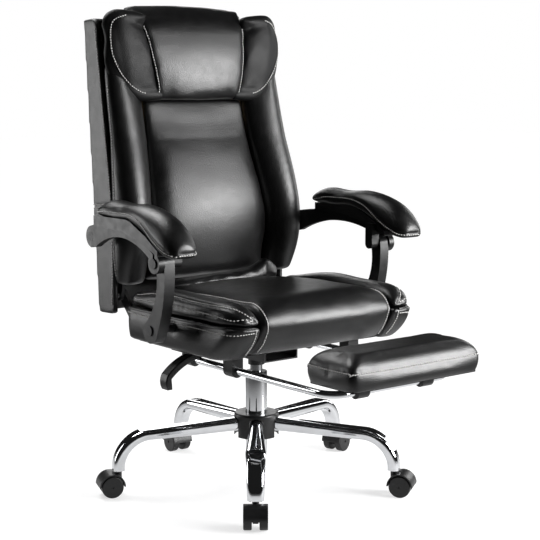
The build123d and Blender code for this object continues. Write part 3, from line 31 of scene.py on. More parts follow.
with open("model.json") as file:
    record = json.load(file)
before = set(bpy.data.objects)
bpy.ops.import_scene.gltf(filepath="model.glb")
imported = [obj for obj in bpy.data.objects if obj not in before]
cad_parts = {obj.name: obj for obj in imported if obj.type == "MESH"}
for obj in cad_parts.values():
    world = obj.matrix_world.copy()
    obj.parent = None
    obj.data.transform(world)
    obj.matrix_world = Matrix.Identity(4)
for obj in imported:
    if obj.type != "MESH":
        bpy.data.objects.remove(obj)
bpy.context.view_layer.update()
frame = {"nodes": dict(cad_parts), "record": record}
scene = bpy.context.scene

# Sizes that the upholstery shares with the frame
SIDES = (("left", 1), ("right", -1))
BACK_LEAN = radians(4)
BACK_FOOT_Y = 0.284
BACK_FOOT_Z = 0.391
BAND_FACE_X = 0.2505
REAR_HALF = 0.250
REAR_HEIGHT = 0.668
REAR_CORNER = 0.020
REAR_SEAM_DEPTH = -0.002
ROLL_FLANK_X = 0.262
HEADREST_FOOT = 0.482
HEADREST_FOOT_HALF = 0.123
HEADREST_SPREAD = 0.187
WING_MIDDLE_X = 0.195
WING_MIDDLE_HEIGHT = 0.600
WING_FRONT_DEPTH = 0.110
WING_HALF = 0.08
SEAT_HALF = 0.262
SEAT_FRONT_Y = -0.264
BASE_TOP = 0.425
PILLOW_RISE = 0.050
PILLOW_LEAN = 0.022
PAD_OUTER_X = 0.358
PAD_INNER_X = 0.278
REST_HALF = 0.181
REST_HALF_DEPTH = 0.074
REST_CENTRE_Y = -0.462
REST_CORNER = 0.018

# Face sizes of the remeshed cushions
COARSE_FACES = 0.006
MEDIUM_FACES = 0.005
FINE_FACES = 0.004

# How cushions are filled, and where each is held meanwhile
FILL_PRESSURE = 4
FILL_QUALITY = 4
FILL_STEPS = 20
PANEL_HELD_BELOW_Z = 0.428
PANEL_HELD_BEHIND_Y = -0.198
PILLOW_HELD_BELOW_Z = BASE_TOP + 0.004
BACK_HELD_DEPTH = 0.055
ROLL_HELD_BEHIND_Y = 0.235
HEADREST_HELD_BEHIND_Y = 0.30
ARM_HELD_BELOW_Z = 0.570
REST_HELD_BELOW_Z = 0.333

# Upper ends of the back's cushions behind the headrest, and how its wings lie beside the pillow
STRETCH_FROM = 0.40
WING_TUCK = 0.030
WING_TUCK_WIDTH = 0.05
WING_TUCK_MOST = 1.2
WING_DROP = 0.005
WING_DROP_HEIGHT = 0.10
WING_SWEEP = 1.2
WING_SWEEP_WIDTH = 0.075

# Roll where the back meets the seat
LUMBAR_HALF = 0.172
LUMBAR_LOW_Z = 0.446
LUMBAR_TOP_Z = 0.474
LUMBAR_CLIMB = 0.016
LUMBAR_Y = 0.144
LUMBAR_FORWARD = 0.012
LUMBAR_DEPTH = 0.024
LUMBAR_ENDS = 6
LUMBAR_END_HEIGHT = 0.35
RUMPLE = 0.12
RUMPLES_ACROSS = 34
RUMPLES_AROUND = 2.5
FOLD_X = 0.128
FOLD_WIDTH = 0.03
FOLD_RISE = 0.020

# Thread, piping and dust covers
SEAM_STEP = 0.002
CURVE_STEPS = 24
POINTS_AT_ONCE = 4000
GATHER_PITCH = 0.016
STITCH_LENGTH = 0.0045
STITCH_PITCH = 0.0064
STITCH_RADIUS = 0.0012
STITCH_LIFT = 0.7
ROW_OFFSET = 0.004
PIPING_RADIUS = 0.0028
PIPING_LIFT = 0.3
PIPING_STEP = 0.012
LINING_MARGIN = 0.002
LINING_GAP = 0.0005
LINING_SAG = 0.0006
LINING_CELLS = 24
LINING_RIM = 0.999

# Places of the seams
PANEL_SEAM_X = 0.178
PANEL_THREAD_X = 0.174
CORNER_THREAD_X = 0.201
PILLOW_SEAMS = (0.42, 0.78)
BASE_SEAM_Z = 0.412
PIPING_Z = 0.4262
PIPING_INSET = 0.001
WELT_HEIGHT = 0.250
CROSS_HEIGHT = 0.300
REST_SEAM_Z = 0.374
REST_THREAD_Z = REST_SEAM_Z - 0.005

# Noise textures lie mostly between these values
NOISE_LOW = 0.3
NOISE_HIGH = 0.7

# White of the studio floor: distances from the column between which it changes
SHADOW_NEAR = 0.42
SHADOW_FAR = 0.95
MIRROR_NEAR = 0.5
MIRROR_FAR = 1.15

# Camera fitted to the photograph
CAMERA_PLACE = (-1.8506, -2.3945, 0.9089)
CAMERA_PITCH = radians(90 - 7.68)
CAMERA_TURN = radians(-38.3)
CAMERA_LENS = 88.63


def back_point(x, h, d):
    """A place on the back: across, up the back from its foot, and forward of its rear face."""
    y = BACK_FOOT_Y + h * sin(BACK_LEAN) - d * cos(BACK_LEAN)
    z = BACK_FOOT_Z + h * cos(BACK_LEAN) + d * sin(BACK_LEAN)
    return Vector((x, y, z))


def back_height(point):
    """How far up the back a point is."""
    return (point[1] - BACK_FOOT_Y) * sin(BACK_LEAN) + (point[2] - BACK_FOOT_Z) * cos(BACK_LEAN)


# Mesh helpers


def add_object(name, mesh):
    piece = bpy.data.objects.new(name, mesh)
    scene.collection.objects.link(piece)
    return piece


def points_of(piece):
    points = np.empty(len(piece.data.vertices) * 3)
    piece.data.vertices.foreach_get("co", points)
    return points.reshape(-1, 3)


def normals_of(piece):
    normals = np.empty(len(piece.data.vertices) * 3)
    piece.data.vertices.foreach_get("normal", normals)
    return normals.reshape(-1, 3)


def move_points(piece, points):
    piece.data.vertices.foreach_set("co", np.asarray(points).ravel())
    piece.data.update()


def apply_modifiers(piece):
    graph = bpy.context.evaluated_depsgraph_get()
    mesh = bpy.data.meshes.new_from_object(piece.evaluated_get(graph))
    piece.modifiers.clear()
    piece.data = mesh
    mesh.shade_smooth()


def even_faces(piece, voxel):
    """Remeshes a piece into faces of one size."""
    modifier = piece.modifiers.new("even", "REMESH")
    modifier.mode = "VOXEL"
    modifier.voxel_size = voxel
    apply_modifiers(piece)


def relax(piece, rounds):
    """Rounds the edges off."""
    modifier = piece.modifiers.new("relax", "SMOOTH")
    modifier.iterations = rounds
    modifier.factor = 0.5
    apply_modifiers(piece)


def refine(piece):
    modifier = piece.modifiers.new("refine", "SUBSURF")
    modifier.levels = 1
    modifier.render_levels = 1
    apply_modifiers(piece)


def soft_copy(node, name, voxel):
    """A copy of a cushion's solid in its place, welded and with even faces."""
    piece = add_object(name, frame["nodes"][node].data.copy())
    piece.data.materials.clear()
    shape = bmesh.new()
    shape.from_mesh(piece.data)
    bmesh.ops.remove_doubles(shape, verts=shape.verts, dist=1e-5)
    shape.to_mesh(piece.data)
    shape.free()
    even_faces(piece, voxel)
    relax(piece, 2)
    snug = piece.modifiers.new("snug", "SHRINKWRAP")
    snug.target = frame["nodes"][node]
    apply_modifiers(piece)
    return piece


def mirrored(piece, name):
    """The same piece on the chair's other side."""
    twin = add_object(name, piece.data.copy())
    move_points(twin, points_of(twin) * np.array((-1, 1, 1)))
    twin.data.flip_normals()
    return twin


def plump(piece, shrink, cap, held, smoothing=16):
    """Shrinks a cushion, then fills it as cloth under pressure. No point moves further than the cap."""
    move_points(piece, points_of(piece) - shrink * normals_of(piece))
    start = points_of(piece)
    group = piece.vertex_groups.new(name="held")
    group.add([int(k) for k in np.flatnonzero(held(start))], 1.0, "REPLACE")
    cloth = piece.modifiers.new("fill", "CLOTH")
    settings = cloth.settings
    settings.use_pressure = True
    settings.uniform_pressure_force = FILL_PRESSURE
    settings.quality = FILL_QUALITY
    settings.effector_weights.gravity = 0
    settings.vertex_group_mass = "held"
    cloth.collision_settings.use_collision = False
    cloth.point_cache.frame_start = 1
    cloth.point_cache.frame_end = FILL_STEPS
    for step in range(1, FILL_STEPS + 1):
        scene.frame_set(step)
    apply_modifiers(piece)
    piece.vertex_groups.clear()
    moved = points_of(piece) - start
    reach = np.linalg.norm(moved, axis=1, keepdims=True)
    move_points(piece, start + moved * np.minimum(1, cap / np.maximum(reach, 1e-9)))
    scene.frame_set(1)
    relax(piece, smoothing)


def raise_top(piece, stretch, lean):
    """Stretches the upper end of a back cushion behind the headrest, leaning it back as it rises."""
    points = points_of(piece)
    rise = np.array([back_height(point) for point in points]) - STRETCH_FROM
    grow = np.maximum(rise, 0) * stretch
    points[:, 1] += grow * (sin(BACK_LEAN) + lean)
    points[:, 2] += grow * cos(BACK_LEAN)
    move_points(piece, points)


def ripple(piece, depth, size):
    """Slight unevenness of stuffed leather."""
    points = points_of(piece)
    waves = np.array([noise.noise(Vector(point) / size) for point in points])
    move_points(piece, points + depth * waves[:, None] * normals_of(piece))


def smooth_path(corners, step):
    """Evenly spaced points on a smooth line through the corners, and the length along it."""
    knots = np.array([tuple(corner) for corner in corners])
    ends = np.vstack((2 * knots[0] - knots[1], knots, 2 * knots[-1] - knots[-2]))
    share = np.linspace(0, 1, CURVE_STEPS, endpoint=False)[:, None]
    runs = []
    for before, first, second, after in zip(ends, ends[1:], ends[2:], ends[3:]):
        bend = (2 * before - 5 * first + 4 * second - after) * share ** 2
        twist = (3 * first - before - 3 * second + after) * share ** 3
        runs.append(first + 0.5 * ((second - before) * share + bend + twist))
    line = np.vstack(runs + [knots[-1:]])
    length = np.concatenate(([0], np.cumsum(np.linalg.norm(np.diff(line, axis=0), axis=1))))
    places = np.arange(0, length[-1], step)
    return np.column_stack([np.interp(places, length, line[:, axis]) for axis in range(3)]), places


def press_seam(piece, corners, depth, width, pucker=0.0):
    """Draws the surface in along a sewn line, with small gathers if asked."""
    line, places = smooth_path(corners, SEAM_STEP)
    points = points_of(piece)
    reach = 3 * width
    inside = (points > line.min(0) - reach) & (points < line.max(0) + reach)
    near = np.flatnonzero(np.all(inside, axis=1))
    normals = normals_of(piece)
    for part in np.array_split(near, max(1, len(near) // POINTS_AT_ONCE)):
        gaps = np.linalg.norm(points[part, None] - line[None], axis=2)
        nearest = gaps.argmin(axis=1)
        gap = gaps[np.arange(len(part)), nearest]
        gather = 1 + pucker * np.sin(places[nearest] * 2 * pi / GATHER_PITCH) * (gap > 0.5 * width)
        points[part] -= (depth * gather * np.exp(-(gap / width) ** 2))[:, None] * normals[part]
    move_points(piece, points)


def surface_of(piece):
    points = [tuple(vertex.co) for vertex in piece.data.vertices]
    return BVHTree.FromPolygons(points, [tuple(face.vertices) for face in piece.data.polygons])


# Materials


def new_material(name, colour, roughness, metallic=0.0):
    material = bpy.data.materials.new(name)
    material.use_nodes = True
    shader = material.node_tree.nodes["Principled BSDF"]
    shader.inputs["Base Color"].default_value = (*colour, 1)
    shader.inputs["Roughness"].default_value = roughness
    shader.inputs["Metallic"].default_value = metallic
    return material


def add_node(material, kind, **values):
    made = material.node_tree.nodes.new(kind)
    for name, value in values.items():
        made.inputs[name.replace("_", " ")].default_value = value
    return made


def join(material, source, target):
    material.node_tree.links.new(source, target)


def object_place(material, stretch=(1, 1, 1)):
    """Texture coordinates fixed to the piece, in metres."""
    place = material.node_tree.nodes.new("ShaderNodeTexCoord")
    mapping = material.node_tree.nodes.new("ShaderNodeMapping")
    mapping.inputs["Scale"].default_value = stretch
    join(material, place.outputs["Object"], mapping.inputs["Vector"])
    return mapping.outputs["Vector"]


def cloudy(material, place, scale, detail=3.0):
    """Soft noise from 0 to 1."""
    made = add_node(material, "ShaderNodeTexNoise", Scale=scale, Detail=detail)
    join(material, place, made.inputs["Vector"])
    return made.outputs["Fac"]


def spread(material, source, low, high):
    """A value that runs from low to high with the source."""
    made = add_node(material, "ShaderNodeMapRange",
                    From_Min=NOISE_LOW, From_Max=NOISE_HIGH, To_Min=low, To_Max=high)
    join(material, source, made.inputs["Value"])
    return made.outputs["Result"]


def tint(material, source, dark, light):
    """A colour that runs from dark to light with the source."""
    made = material.node_tree.nodes.new("ShaderNodeValToRGB")
    made.color_ramp.elements[0].position = NOISE_LOW
    made.color_ramp.elements[0].color = (*dark, 1)
    made.color_ramp.elements[1].position = NOISE_HIGH
    made.color_ramp.elements[1].color = (*light, 1)
    join(material, source, made.inputs["Fac"])
    return made.outputs["Color"]


def bump(material, source, strength, distance, under=None):
    made = add_node(material, "ShaderNodeBump", Strength=strength, Distance=distance)
    join(material, source, made.inputs["Height"])
    if under is not None:
        join(material, under, made.inputs["Normal"])
    return made.outputs["Normal"]


def shader_of(material):
    return material.node_tree.nodes["Principled BSDF"]


def dress(material, **textures):
    """Joins textures to the shader's colour, roughness and normal."""
    sockets = {"colour": "Base Color", "roughness": "Roughness", "normal": "Normal"}
    for use, source in textures.items():
        join(material, source, shader_of(material).inputs[sockets[use]])


def make_leather(name, rough_low, rough_high, gloss):
    """Black PU leather: pebbled grain, slow waviness, uneven sheen."""
    material = new_material(name, (0.004, 0.004, 0.0043), rough_low)
    place = object_place(material)
    pebbles = add_node(material, "ShaderNodeTexVoronoi", Scale=460.0)
    join(material, place, pebbles.inputs["Vector"])
    waves = bump(material, cloudy(material, place, 22.0), strength=0.04, distance=0.003)
    fine = cloudy(material, place, 160.0, detail=5.0)
    creases = bump(material, fine, strength=0.10, distance=0.0008, under=waves)
    grain = bump(material, pebbles.outputs["Distance"], strength=0.34, distance=0.0008, under=creases)
    patches = cloudy(material, place, 9.0)
    dress(material,
          colour=tint(material, patches, (0.0018, 0.0018, 0.0019), (0.0032, 0.0032, 0.0034)),
          roughness=spread(material, cloudy(material, place, 45.0), rough_low, rough_high),
          normal=grain)
    shader_of(material).inputs["Specular IOR Level"].default_value = gloss
    return material


def make_plastic(name, colour, rough_low, rough_high, texture):
    """Moulded plastic with a fine spark-eroded texture."""
    material = new_material(name, colour, rough_low)
    place = object_place(material)
    lighter = tuple(1.6 * part for part in colour)
    eroded = cloudy(material, place, texture, detail=2.0)
    dress(material,
          colour=tint(material, cloudy(material, place, 14.0), colour, lighter),
          roughness=spread(material, cloudy(material, place, 60.0), rough_low, rough_high),
          normal=bump(material, eroded, strength=0.12, distance=0.0004))
    return material


def make_chrome():
    """Polished chrome plate with faint wiping marks."""
    material = new_material("chrome_plate", (0.80, 0.81, 0.83), 0.05, metallic=1.0)
    place = object_place(material)
    smears = cloudy(material, place, 30.0, detail=4.0)
    dress(material,
          colour=tint(material, smears, (0.76, 0.77, 0.79), (0.84, 0.85, 0.87)),
          roughness=spread(material, smears, 0.035, 0.09),
          normal=bump(material, cloudy(material, place, 90.0), strength=0.02, distance=0.0005))
    return material


def make_steel():
    """Zinc-plated steel with drawn lines."""
    material = new_material("steel_zinc", (0.45, 0.45, 0.46), 0.35, metallic=1.0)
    lines = cloudy(material, object_place(material, (1, 1, 0.04)), 700.0, detail=4.0)
    dress(material,
          colour=tint(material, lines, (0.36, 0.36, 0.37), (0.54, 0.54, 0.55)),
          roughness=spread(material, lines, 0.26, 0.46),
          normal=bump(material, lines, strength=0.1, distance=0.0003))
    return material


def make_powder_coat():
    """Black powder coat with its orange-peel surface."""
    material = new_material("black_powder_coat", (0.014, 0.014, 0.015), 0.42)
    place = object_place(material)
    peel = cloudy(material, place, 420.0, detail=2.0)
    patches = cloudy(material, place, 12.0)
    dress(material,
          colour=tint(material, patches, (0.012, 0.012, 0.013), (0.020, 0.020, 0.021)),
          roughness=spread(material, peel, 0.36, 0.5),
          normal=bump(material, peel, strength=0.25, distance=0.0006))
    return material


def make_plywood():
    """Birch plywood with long fibres."""
    material = new_material("birch_plywood", (0.55, 0.42, 0.28), 0.65)
    fibres = cloudy(material, object_place(material, (1, 0.06, 1)), 160.0, detail=6.0)
    dress(material,
          colour=tint(material, fibres, (0.42, 0.30, 0.18), (0.62, 0.49, 0.33)),
          roughness=spread(material, fibres, 0.55, 0.75),
          normal=bump(material, fibres, strength=0.2, distance=0.0005))
    return material


def make_thread():
    """Off-white twisted polyester thread."""
    material = new_material("thread_white", (0.60, 0.59, 0.57), 0.6)
    twist = cloudy(material, object_place(material), 2200.0, detail=2.0)
    dress(material,
          colour=tint(material, twist, (0.58, 0.575, 0.56), (0.84, 0.83, 0.81)),
          normal=bump(material, twist, strength=0.3, distance=0.0003))
    return material


def make_lining_cloth():
    """Black non-woven dust cover, pricked all over."""
    material = new_material("lining_black", (0.012, 0.012, 0.012), 0.9)
    place = object_place(material)
    pricks = add_node(material, "ShaderNodeTexVoronoi", Scale=380.0)
    join(material, place, pricks.inputs["Vector"])
    fibres = cloudy(material, place, 500.0, detail=5.0)
    dress(material,
          colour=tint(material, fibres, (0.008, 0.008, 0.008), (0.020, 0.020, 0.020)),
          normal=bump(material, pricks.outputs["Distance"], strength=0.5, distance=0.0006))
    return material


leather = make_leather("leather_black", 0.33, 0.40, 0.6)
dull_leather = make_leather("leather_dull", 0.47, 0.55, 0.24)
thread = make_thread()
FINISHES = {
    "leather": leather,
    "black_plastic": make_plastic("plastic_black", (0.005, 0.005, 0.0052), 0.32, 0.44, 900.0),
    "castor_nylon": make_plastic("nylon_black", (0.005, 0.005, 0.0052), 0.34, 0.46, 700.0),
    "chrome": make_chrome(),
    "steel": make_steel(),
    "black_steel": make_powder_coat(),
    "plywood": make_plywood(),
}
lining = make_lining_cloth()

for subpart in frame["record"]["subparts"]:
    solid = frame["nodes"][subpart["node"]]
    solid.data.materials.clear()
    solid.data.materials.append(FINISHES[subpart["material_slot"]])


# Upholstery


def upholster(piece, body, node):
    """Puts a finished soft piece on its body in the place of its solid."""
    piece.data.materials.clear()
    piece.data.materials.append(leather)
    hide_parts(node)
    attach(piece, body)
    return piece


def make_seat_cushion():
    """Centre panel that runs over the nose of the seat."""

    def held(points):
        return (points[:, 2] < PANEL_HELD_BELOW_Z) & (points[:, 1] > PANEL_HELD_BEHIND_Y)

    piece = soft_copy("seat_cushion", "seat_panel", COARSE_FACES)
    relax(piece, 4)
    plump(piece, shrink=0.002, cap=0.007, held=held, smoothing=45)
    refine(piece)
    ripple(piece, depth=0.0006, size=0.07)
    return upholster(piece, "seat", "seat_cushion")


def make_seat_bolster():
    """Pillow along the seat's left edge."""
    piece = soft_copy("seat_bolster_left", "seat_pillow_left", MEDIUM_FACES)
    relax(piece, 3)
    plump(piece, shrink=0.002, cap=0.008, held=lambda points: points[:, 2] < PILLOW_HELD_BELOW_Z)
    refine(piece)
    ripple(piece, depth=0.0007, size=0.05)
    return piece


def make_seat_base():
    """Lower band of the seat, stretched over its foam."""
    piece = soft_copy("seat_base", "seat_band", COARSE_FACES)
    relax(piece, 6)
    ripple(piece, depth=0.001, size=0.07)
    return upholster(piece, "seat", "seat_base")


def make_back_shell():
    """Rear panel and side bands of the back."""
    piece = soft_copy("back_shell", "back_cover", MEDIUM_FACES)
    relax(piece, 6)
    ripple(piece, depth=0.0006, size=0.09)
    return upholster(piece, "back", "back_shell")


def make_back_cushion():
    """Centre panel of the back."""

    def held(points):
        return BACK_FOOT_Y - points[:, 1] < BACK_HELD_DEPTH

    piece = soft_copy("back_cushion", "back_panel", COARSE_FACES)
    relax(piece, 4)
    plump(piece, shrink=0.003, cap=0.008, held=held, smoothing=30)
    raise_top(piece, stretch=0.35, lean=0.0)
    refine(piece)
    ripple(piece, depth=0.0006, size=0.08)
    return upholster(piece, "back", "back_cushion")


def make_back_bolster():
    """Long bolster on the left of the back, running on up behind the headrest's wing."""
    piece = soft_copy("back_bolster_left", "back_roll_left", COARSE_FACES)
    relax(piece, 4)
    plump(piece, shrink=0.002, cap=0.008, held=lambda points: points[:, 1] > ROLL_HELD_BEHIND_Y)
    raise_top(piece, stretch=1.3, lean=0.16)
    refine(piece)
    ripple(piece, depth=0.0006, size=0.07)
    return piece


def make_headrest():
    """Centre pillow of the headrest, over the top of the back."""
    piece = soft_copy("headrest_cushion", "headrest_pillow", COARSE_FACES)
    relax(piece, 5)
    plump(piece, shrink=0.002, cap=0.008, held=lambda points: points[:, 1] > HEADREST_HELD_BEHIND_Y)
    refine(piece)
    ripple(piece, depth=0.0006, size=0.07)
    return upholster(piece, "back", "headrest_cushion")


def make_wing():
    """Wing on the left of the headrest: tucked under the pillow, low at its foot, swept back outside."""
    piece = soft_copy("headrest_wing_left", "headrest_side_left", MEDIUM_FACES)
    relax(piece, 4)
    plump(piece, shrink=0.002, cap=0.008, held=lambda points: np.zeros(len(points), bool))
    points = points_of(piece)
    rise = np.array([back_height(point) for point in points]) - HEADREST_FOOT
    beside = points[:, 0] - HEADREST_FOOT_HALF - HEADREST_SPREAD * rise
    points[:, 0] -= WING_TUCK * np.clip(1 - beside / WING_TUCK_WIDTH, 0, WING_TUCK_MOST) ** 2
    points[:, 2] -= WING_DROP * np.clip(1 - rise / WING_DROP_HEIGHT, 0, 1)
    points[:, 1] += WING_SWEEP * np.clip(beside, 0, WING_SWEEP_WIDTH) ** 2
    move_points(piece, points)
    refine(piece)
    ripple(piece, depth=0.0005, size=0.05)
    return piece


def make_arm_pad():
    """Pad of the left armrest."""
    piece = soft_copy("arm_pad_left", "arm_cushion_left", FINE_FACES)
    relax(piece, 4)
    plump(piece, shrink=0.001, cap=0.004, held=lambda points: points[:, 2] < ARM_HELD_BELOW_Z)
    refine(piece)
    return piece


def make_footrest_pad():
    """Pad of the footrest."""
    piece = soft_copy("footrest_pad", "footrest_cushion", MEDIUM_FACES)
    relax(piece, 1)
    plump(piece, shrink=0.001, cap=0.003, held=lambda points: points[:, 2] < REST_HELD_BELOW_Z, smoothing=5)
    refine(piece)
    ripple(piece, depth=0.0004, size=0.05)
    return upholster(piece, "footrest_pad", "footrest_pad")


def both_sides(make, stem, body, node):
    """A piece for each side of the chair, made once on the left."""
    left = make()
    right = mirrored(left, f"{stem}_right")
    pieces = {"left": left, "right": right}
    for side, piece in pieces.items():
        upholster(piece, body.format(side), node.format(side))
    return pieces


def make_lumbar_roll():
    """Rumpled leather roll where the back meets the seat, drawn up into a fold at its left end."""
    mesh = bpy.data.meshes.new("lumbar_roll")
    roll = add_object("lumbar_roll", mesh)
    across = 120
    around = 28
    points = []
    for k in range(across + 1):
        share = k / across
        x = LUMBAR_HALF * (2 * share - 1)
        end = min(1, LUMBAR_ENDS * share, LUMBAR_ENDS * (1 - share)) ** 0.5
        top = LUMBAR_TOP_Z + LUMBAR_CLIMB * share + FOLD_RISE * np.exp(-((x - FOLD_X) / FOLD_WIDTH) ** 2)
        centre = Vector((x, LUMBAR_Y - LUMBAR_FORWARD * end, (top + LUMBAR_LOW_Z) / 2))
        for turn in range(around):
            angle = 2 * pi * turn / around
            place = (x * RUMPLES_ACROSS, RUMPLES_AROUND * cos(angle), RUMPLES_AROUND * sin(angle))
            swell = 1 + RUMPLE * noise.noise(Vector(place))
            depth = LUMBAR_DEPTH * end * swell
            fullness = LUMBAR_END_HEIGHT + (1 - LUMBAR_END_HEIGHT) * end
            height = (top - LUMBAR_LOW_Z) / 2 * fullness * swell
            points.append(centre + Vector((0, depth * cos(angle), height * sin(angle))))
    faces = []
    for k in range(across):
        ring = k * around
        for turn in range(around):
            after = (turn + 1) % around
            faces.append((ring + turn, ring + after, ring + around + after, ring + around + turn))
    faces.append(tuple(reversed(range(around))))
    faces.append(tuple(range(across * around, (across + 1) * around)))
    mesh.from_pydata(points, [], faces)
    mesh.shade_smooth()
    mesh.materials.append(leather)
    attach(roll, "back")


def line_board(name, body, node):
    """Dust cover turned up over a board's edges and sagging a little under it."""
    board = points_of(frame["nodes"][node])
    middle = (board.min(axis=0) + board.max(axis=0)) / 2
    half = (board.max(axis=0) - board.min(axis=0)) / 2 + LINING_MARGIN
    mesh = bpy.data.meshes.new(name)
    shape = bmesh.new()
    bmesh.ops.create_grid(shape, x_segments=LINING_CELLS, y_segments=LINING_CELLS, size=1)
    inner = max(vertex.co.x for vertex in shape.verts if vertex.co.x < LINING_RIM)
    for vertex in shape.verts:
        rim = max(abs(vertex.co.x), abs(vertex.co.y)) > LINING_RIM
        across = max(-1, min(1, vertex.co.x / inner))
        along = max(-1, min(1, vertex.co.y / inner))
        sag = LINING_SAG * (1 - across ** 2) * (1 - along ** 2)
        z = board[:, 2].max() if rim else board[:, 2].min() - LINING_GAP - sag
        vertex.co = (middle[0] + across * half[0], middle[1] + along * half[1], z)
    bmesh.ops.reverse_faces(shape, faces=shape.faces)
    shape.to_mesh(mesh)
    shape.free()
    mesh.shade_smooth()
    cover = add_object(name, mesh)
    mesh.materials.append(lining)
    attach(cover, body)


line_board("seat_lining", "seat", "seat_board")
line_board("footrest_lining", "footrest_pad", "footrest_board")
seat_panel = make_seat_cushion()
seat_band = make_seat_base()
seat_pillows = both_sides(make_seat_bolster, "seat_pillow", "seat", "seat_bolster_{}")
back_cover = make_back_shell()
make_back_cushion()
back_rolls = both_sides(make_back_bolster, "back_roll", "back", "back_bolster_{}")
headrest = make_headrest()
wings = both_sides(make_wing, "headrest_side", "back", "headrest_wing_{}")
for wing_piece in wings.values():
    wing_piece.data.materials[0] = dull_leather
arm_cushions = both_sides(make_arm_pad, "arm_cushion", "arm_{}", "arm_pad_{}")
footrest = make_footrest_pad()
make_lumbar_roll()


# Seams and thread


def sided(side, corners):
    """The corners of a line on the left side, or their mirror image on the right."""
    return [Vector((side * corner[0], corner[1], corner[2])) for corner in corners]


def nose_line(x):
    """Over the seat from its rear to the foot of the nose."""
    profile = ((0.140, 0.458), (0.050, 0.466), (-0.060, 0.470), (-0.160, 0.471), (-0.222, 0.470),
               (-0.262, 0.450), (-0.277, 0.421), (-0.256, 0.381), (-0.222, 0.356))
    return [Vector((x, y, z)) for y, z in profile]


def thread_mesh(rows):
    """Stitches along each row, laid on the piece that the row belongs to."""
    sides = 6
    rings = ((-1, 0.35), (-0.7, 1), (0.7, 1), (1, 0.35))
    points = []
    faces = []
    for piece, corners in rows:
        surface = surface_of(piece)
        line, _ = smooth_path(corners, STITCH_PITCH)
        laid = [surface.find_nearest(Vector(place)) for place in line]
        for k, (place, normal, _, _) in enumerate(laid[:-1]):
            along = (laid[k + 1][0] - place).normalized()
            out = (normal - along * normal.dot(along)).normalized()
            cross = along.cross(out)
            middle = place + out * STITCH_RADIUS * STITCH_LIFT
            first = len(points)
            for run, width in rings:
                for turn in range(sides):
                    angle = 2 * pi * turn / sides
                    ring = (cross * cos(angle) + out * sin(angle)) * STITCH_RADIUS * width
                    points.append(middle + along * run * STITCH_LENGTH / 2 + ring)
            for ring in range(len(rings) - 1):
                for turn in range(sides):
                    after = (turn + 1) % sides
                    low = first + ring * sides
                    faces.append((low + turn, low + after, low + sides + after, low + sides + turn))
            faces.append(tuple(first + turn for turn in reversed(range(sides))))
            faces.append(tuple(first + (len(rings) - 1) * sides + turn for turn in range(sides)))
    mesh = bpy.data.meshes.new("stitches")
    mesh.from_pydata(points, [], faces)
    mesh.shade_smooth()
    return mesh


def sew(name, body, rows):
    """Thread of one body as one piece."""
    piece = add_object(name, thread_mesh(rows))
    piece.data.materials.append(thread)
    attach(piece, body)


def pipe(name, body, corners, piece):
    """Leather piping along a line on a piece."""
    surface = surface_of(piece)
    line, _ = smooth_path(corners, PIPING_STEP)
    curve = bpy.data.curves.new(name, "CURVE")
    curve.dimensions = "3D"
    curve.bevel_depth = PIPING_RADIUS
    curve.bevel_resolution = 3
    curve.use_fill_caps = True
    spline = curve.splines.new("NURBS")
    spline.points.add(len(line) - 1)
    for point, place in zip(spline.points, line):
        nearest, normal, _, _ = surface.find_nearest(Vector(place))
        point.co = (*(nearest + normal * PIPING_RADIUS * PIPING_LIFT), 1)
    spline.order_u = 4
    spline.use_endpoint_u = True
    tube = add_object(name, curve)
    curve.materials.append(leather)
    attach(tube, body)


def base_edge(side, z, inset=0.0):
    """Along the seat band's side and round its front corner at one level."""
    half = SEAT_HALF - inset
    front = SEAT_FRONT_Y + inset
    corners = [(half, 0.150, z), (half, 0.0, z), (half, -0.14, z), (half - 0.002, -0.205, z),
               (half - 0.016, front + 0.022, z), (half - 0.042, front, z), (0.197, front, z)]
    return sided(side, corners)


def band_corner(side, x):
    """Down the front of the seat band, beside the centre panel."""
    return sided(side, [(x, -0.268, 0.416), (x, -0.256, 0.395), (x, -0.238, 0.372), (x, -0.216, 0.354)])


def pillow_line(side, share):
    """Along the outer face of a seat pillow; share is the height on it."""
    rise = BASE_TOP + PILLOW_RISE * share
    out = SEAT_HALF - PILLOW_LEAN * share ** 2
    corners = [(out, 0.130, rise), (out, 0.02, rise + 0.002), (out, -0.10, rise + 0.002),
               (out - 0.004, -0.19, rise), (out - 0.020, -0.235, rise - 0.006),
               (0.202, -0.262, BASE_TOP + 0.012)]
    return sided(side, corners)


def headrest_seam(side, shift):
    """Up a slanted seam of the headrest, from its foot over the top."""
    profile = ((0.006, 0.106), (0.06, 0.112), (0.13, 0.108), (0.19, 0.092), (0.222, 0.060))
    corners = []
    for rise, depth in profile:
        half = HEADREST_FOOT_HALF + HEADREST_SPREAD * rise + shift
        corners.append(back_point(side * half, HEADREST_FOOT + rise, depth))
    return corners


def wing_edge(side, inset):
    """Down a wing's outer edge and in along its lower edge, drawn towards its middle by the inset."""
    outline = ((0.205, 0.699), (0.243, 0.687), (0.255, 0.660), (0.254, 0.600), (0.244, 0.570),
               (0.226, 0.540), (0.200, 0.512), (0.170, 0.494), (0.140, 0.486))
    shrink = 1 - inset / WING_HALF
    corners = []
    for x, h in outline:
        across = WING_MIDDLE_X + shrink * (x - WING_MIDDLE_X)
        height = WING_MIDDLE_HEIGHT + shrink * (h - WING_MIDDLE_HEIGHT)
        corners.append(back_point(side * across, height, WING_FRONT_DEPTH))
    return corners


def band_edge(side, inset):
    """Down the side band, behind its front edge."""
    profile = ((0.655, 0.060), (0.55, 0.068), (0.45, 0.075), (0.35, 0.083), (0.245, 0.088),
               (0.12, 0.082), (0.012, 0.070))
    return [back_point(side * BAND_FACE_X, h, d - inset) for h, d in profile]


